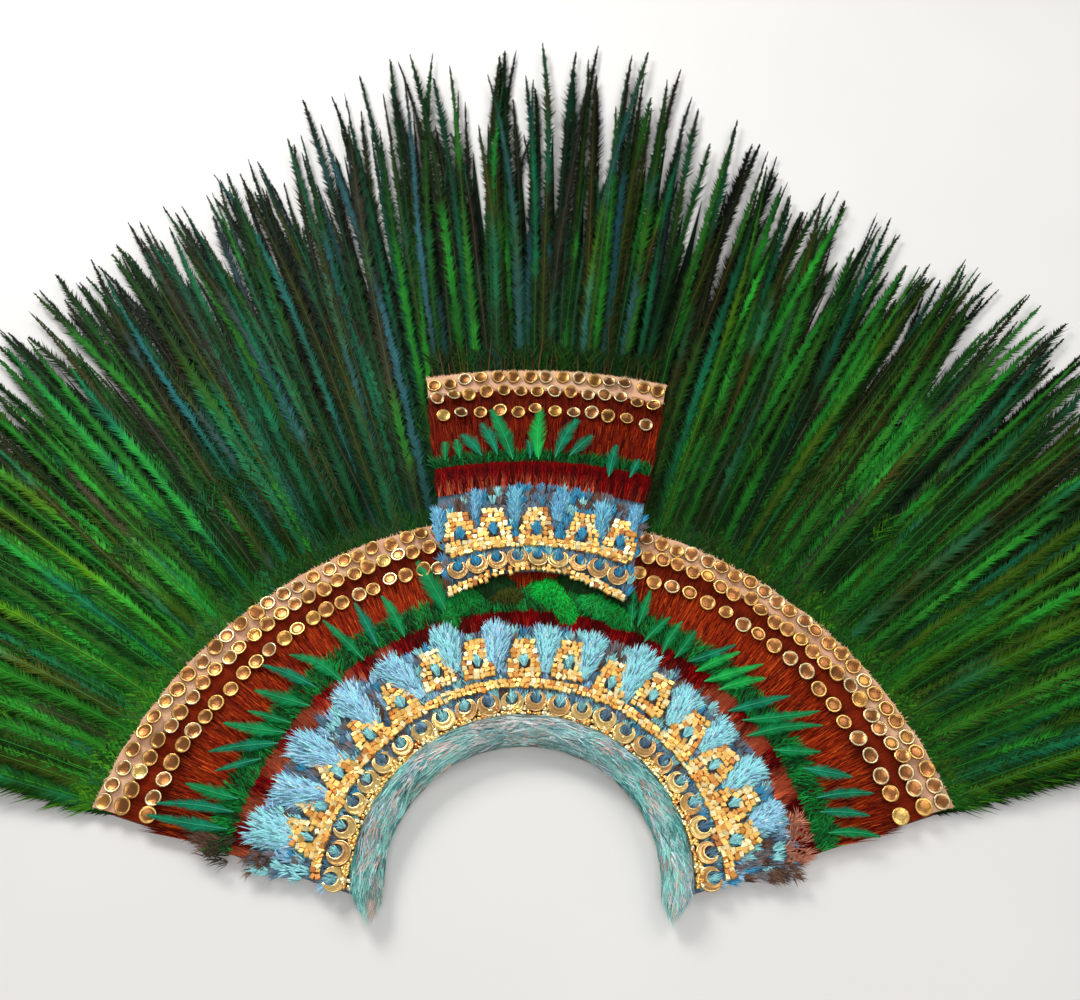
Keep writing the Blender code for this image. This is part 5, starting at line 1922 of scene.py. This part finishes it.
@dataclass
class Trim:
    """A rolled trim round the head hollow: a dark roll under overlapping teal feathers; the roll's darkness is
    painted shade in the gaps between them.
    """

    middle: ArcCourse = ArcCourse(0.1685, 0.1268)
    across: float = 0.0118
    height: float = 0.0098
    level: float = 0.0138
    end: float = 0.985
    rings: int = 90
    sides: int = 16
    locks_a_side: int = 170
    strands_a_lock: int = 46

    def roll(self, share: Array, around: Array) -> tuple[Array, Array]:
        """Places and outward normals on the roll: an oval about its middle line.

        Args:
            share: Place along the line.
            around: Angle about it, in radians, from the side away from the hollow over the top.

        Returns:
            The places and the normals.
        """
        sites = self.middle.sites(share, 0.0, 0.0, self.level)
        thick = np.sqrt(1.0 - 0.9 * np.clip((np.abs(share) - 0.93) / 0.13, 0.0, 1.0) ** 2)[..., None]
        out, up = np.cos(around)[..., None], np.sin(around)[..., None]
        bulge = sites.outward * out * self.across + UP * up * self.height
        return sites.place + bulge * thick, unit(sites.outward * out / self.across + UP * up / self.height)

    def locks(self, heap: Heap, side: float, rng: Rng) -> None:
        """Lays feathers on one half of the roll, from the crown to its end. Each is a lock of fine
        strands that run along the roll, start over the lock's first three fifths and part to its sides.

        Args:
            heap: Where they go.
            side: -1 for the left half, and 1 for the right.
            rng: Source of their places.
        """
        count, each = self.locks_a_side, self.strands_a_lock
        start = np.sort(rng.uniform(-0.12, 0.90, count))
        around = rng.uniform(-0.5, math.pi + 0.6, count)
        drift = rng.normal(0.0, 0.4, count)
        tint = picked(
            rng, count, {Tint.TRIM_TEAL: 0.5, Tint.TRIM_GREY: 0.2, Tint.TRIM_PINK: 0.14, Tint.TRIM_DARK: 0.16},
        )
        pale = picked(rng, count, {Tint.TRIM_GREY: 0.6, Tint.TRIM_PINK: 0.4})
        tint = blend(tint, pale, 0.4 * np.clip(1.0 - start / 0.4, 0.0, 1.0)) * rng.uniform(0.6, 1.6, (count, 1))
        start, around, drift = (np.repeat(x, each) for x in (start, around, drift))
        off = rng.uniform(-1.0, 1.0, count * each)
        back = rng.uniform(0.0, 1.0, count * each)
        share = start + 0.15 * back
        turn = around + off * (0.22 + 0.26 * back) + drift * back
        place, face = self.roll(side * share, turn)
        after, _ = self.roll(side * (share + 0.05), turn + 0.05 * (off * 7.0 + drift * 10.0))
        aim = unit(unit(after - place) + face * (0.22 * back * rng.uniform(0.0, 1.0, count * each))[:, None])
        lift = 0.0008 + 0.0022 * rng.random(count * each) * np.sin(np.clip(back * 1.2 + 0.2, 0.0, 1.0) * math.pi)
        uneven = np.where(rng.random((count * each, 1)) < 0.03, 0.4, rng.uniform(0.9, 1.15, (count * each, 1)))
        # painted shade: strands at a lock's sides and near its start are darker, and every root is darker than its
        # tip, where other strands lie over them
        shade = np.repeat(tint, each, 0) * uneven * (1.1 - 0.3 * off**2 - 0.3 * (1.0 - back))[:, None]
        strands(
            heap, place + face * lift[:, None], aim, rng.uniform(0.010, 0.021, count * each),
            rng.uniform(0.0009, 0.0016, count * each), shade * 0.8, shade * 1.08, 0.0007, 0.0003, face,
        )

    def build(self) -> None:
        """Builds the roll and its feathers, which run from the crown to both ends."""
        rng = np.random.default_rng(71)
        heap = Heap()
        shares = np.linspace(-self.end, self.end, self.rings)
        share, around = np.meshgrid(shares, np.linspace(0.0, 2.0 * math.pi, self.sides + 1)[:-1], indexing="ij")
        place, _ = self.roll(share, around)
        rows, columns = share.shape
        k = np.arange(columns)
        after = (k + 1) % columns
        first = np.arange(rows - 1)[:, None] * columns
        quads = np.stack([first + k, first + after, first + columns + after, first + columns + k], -1).reshape(-1, 4)
        ends = self.middle.sites(np.array([-self.end, self.end]), 0.0, 0.0, self.level).place
        body = np.concatenate([place.reshape(-1, 3), ends])
        pole, last = 0 * k + rows * columns, (rows - 1) * columns
        caps = np.concatenate([np.stack([k, pole, after], 1), np.stack([last + after, pole + 1, last + k], 1)])
        # the roll is TRIM_DARK at half strength: painted shade where it shows between the locks
        heap.stamp(body[None], Tint.TRIM_DARK.light * 0.5, quads, caps)
        for side in (-1.0, 1.0):
            self.locks(heap, side, rng)
        heap.piece("trim_feathers", DOWN, "trim", "trim")


# -------- loose ends


@dataclass
class LooseTufts:
    """Odd tufts at the ends of the bands: salmon pink on the right, brownish on the left."""

    level: float = 0.0095
    # x and y from the fan's centre, heading in degrees from the fan's axis, length, feathers, tint
    table: tuple[tuple[float, float, float, float, int, Tint], ...] = (
        (0.234, 0.078, 40.0, 0.015, 13, Tint.SALMON), (0.238, 0.062, 60.0, 0.014, 12, Tint.SALMON),
        (0.230, 0.052, 80.0, 0.012, 9, Tint.SALMON), (0.228, 0.050, 95.0, 0.012, 8, Tint.BROWN),
        (-0.272, 0.068, -70.0, 0.018, 18, Tint.BROWN), (-0.258, 0.062, -95.0, 0.016, 14, Tint.GREY_BROWN),
        (-0.226, 0.056, -110.0, 0.013, 12, Tint.BROWN), (0.210, 0.044, 110.0, 0.014, 12, Tint.BROWN),
    )

    def build(self) -> None:
        """Builds the table's tufts."""
        rng = np.random.default_rng(81)
        heap = Heap()
        for x, y, heading, length, count, tint in self.table:
            place = flat(np.array([x, y]) + rng.normal(0.0, 0.005, (count, 2)), self.level)
            sites = Sites.facing(place, math.radians(heading))
            tufts(
                heap, rng, sites, 9, rng.normal(0.0, 22.0, count), 24.0, length, 0.0009,
                tint.light * rng.uniform(0.6, 1.4, (count, 1)), 0.003,
            )
        heap.piece("loose_tufts", DOWN, "green_band")


# -------- frame's own nodes


@dataclass
class FrameDress:
    """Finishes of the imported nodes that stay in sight."""

    def build(self) -> None:
        """Gives each node its material."""
        finishes = {
            "backing": FibreFinish("fibre_backing"),
            "turquoise_bed": BedFinish("turquoise_bed_feathers", Tint.BED_DARK, Tint.BLUE_GREY),
            "red_band": BedFinish("red_bed_feathers", Tint.RED_DARK, Tint.RED),
            "brown_field": BedFinish("brown_bed_feathers", Tint.RUST_DARK, Tint.RUST),
        }
        for arc_name, finish in finishes.items():
            for name in (arc_name, f"panel_{arc_name}"):
                worn = frame["nodes"][name].data.materials
                if not worn:
                    worn.append(finish.material())
                for number in range(len(worn)):
                    worn[number] = finish.material()
                LOG.info("%s wears %s", name, finish.name)


# -------- studio


@dataclass
class Studio:
    """A pale floor, soft lights and the camera."""

    floor: float = 6.0
    # x, y, z, size, power in watts
    lamps: Table = (
        (-1.0, 1.2, 1.4, 0.8, 34.0),
        (1.3, 0.6, 1.6, 1.1, 13.0),
        (0.1, -1.3, 1.7, 1.3, 13.0),
    )
    sky: tuple[float, ...] = (0.95, 0.97, 1.0, 1.0)
    sky_strength: float = 0.34
    lens: float = 36.67
    eye: tuple[float, float, float] = (0.0149, -0.782, 0.985)
    target: tuple[float, float, float] = (0.0149, -0.1844, 0.010)

    def build(self) -> None:
        """Sets them up."""
        bpy.context.scene.view_settings.view_transform = "Standard"
        self.lay_floor()
        self.light()
        self.aim_camera()

    def lay_floor(self) -> None:
        """Lays the floor, in a faintly clouded off-white."""
        half = self.floor / 2.0
        mesh = bpy.data.meshes.new("floor")
        mesh.from_pydata(
            [(-half, -half, 0.0), (half, -half, 0.0), (half, half, 0.0), (-half, half, 0.0)], [], [(0, 1, 2, 3)],
        )
        graph = Graph("pale_floor")
        cloud = graph.noise(graph.place(), 3.0)
        mesh.materials.append(
            graph.surface(Base_Color=graph.shaded((0.78, 0.76, 0.73, 1.0), 0.96 + 0.08 * cloud), Roughness=0.9)
        )
        floor = bpy.data.objects.new("floor", mesh)
        bpy.context.scene.collection.objects.link(floor)

    def light(self) -> None:
        """Hangs the lamps, which look at the middle of the fan, under an even sky."""
        for number, (x, y, z, size, power) in enumerate(self.lamps):
            light = bpy.data.lights.new(f"lamp_{number}", "AREA")
            light.size, light.energy = size, power
            lamp = bpy.data.objects.new(f"lamp_{number}", light)
            lamp.location = (x, y, z)
            lamp.rotation_euler = Vector((-x, -0.1 - y, -z)).to_track_quat("-Z", "Y").to_euler()
            bpy.context.scene.collection.objects.link(lamp)
        world = bpy.data.worlds.new("studio")
        world.use_nodes = True
        background = world.node_tree.nodes["Background"].inputs
        background["Color"].default_value = self.sky
        background["Strength"].default_value = self.sky_strength
        bpy.context.scene.world = world

    def aim_camera(self) -> None:
        """Sets up the camera over the foot of the headdress."""
        lens = bpy.data.cameras.new("camera")
        lens.lens, lens.sensor_width, lens.sensor_fit = self.lens, 36.0, "HORIZONTAL"
        camera = bpy.data.objects.new("camera", lens)
        camera.location = self.eye
        camera.rotation_euler = (Vector(self.target) - Vector(self.eye)).to_track_quat("-Z", "Y").to_euler()
        bpy.context.scene.collection.objects.link(camera)
        bpy.context.scene.camera = camera


def main() -> None:
    """Builds the headdress from the plumes forward."""
    logging.basicConfig(level=logging.INFO, format="%(name)s: %(message)s")
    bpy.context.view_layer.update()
    Studio().build()
    parts = (
        FrameDress, PlumeFan, BrownField, EdgeStrip, RedBand, GreenEdge, TurquoiseBed, GoldWork, Trim, LooseTufts,
    )
    for part in parts:
        part().build()
        LOG.info("%s done", part.__name__)


if __name__ == "__main__":
    main()
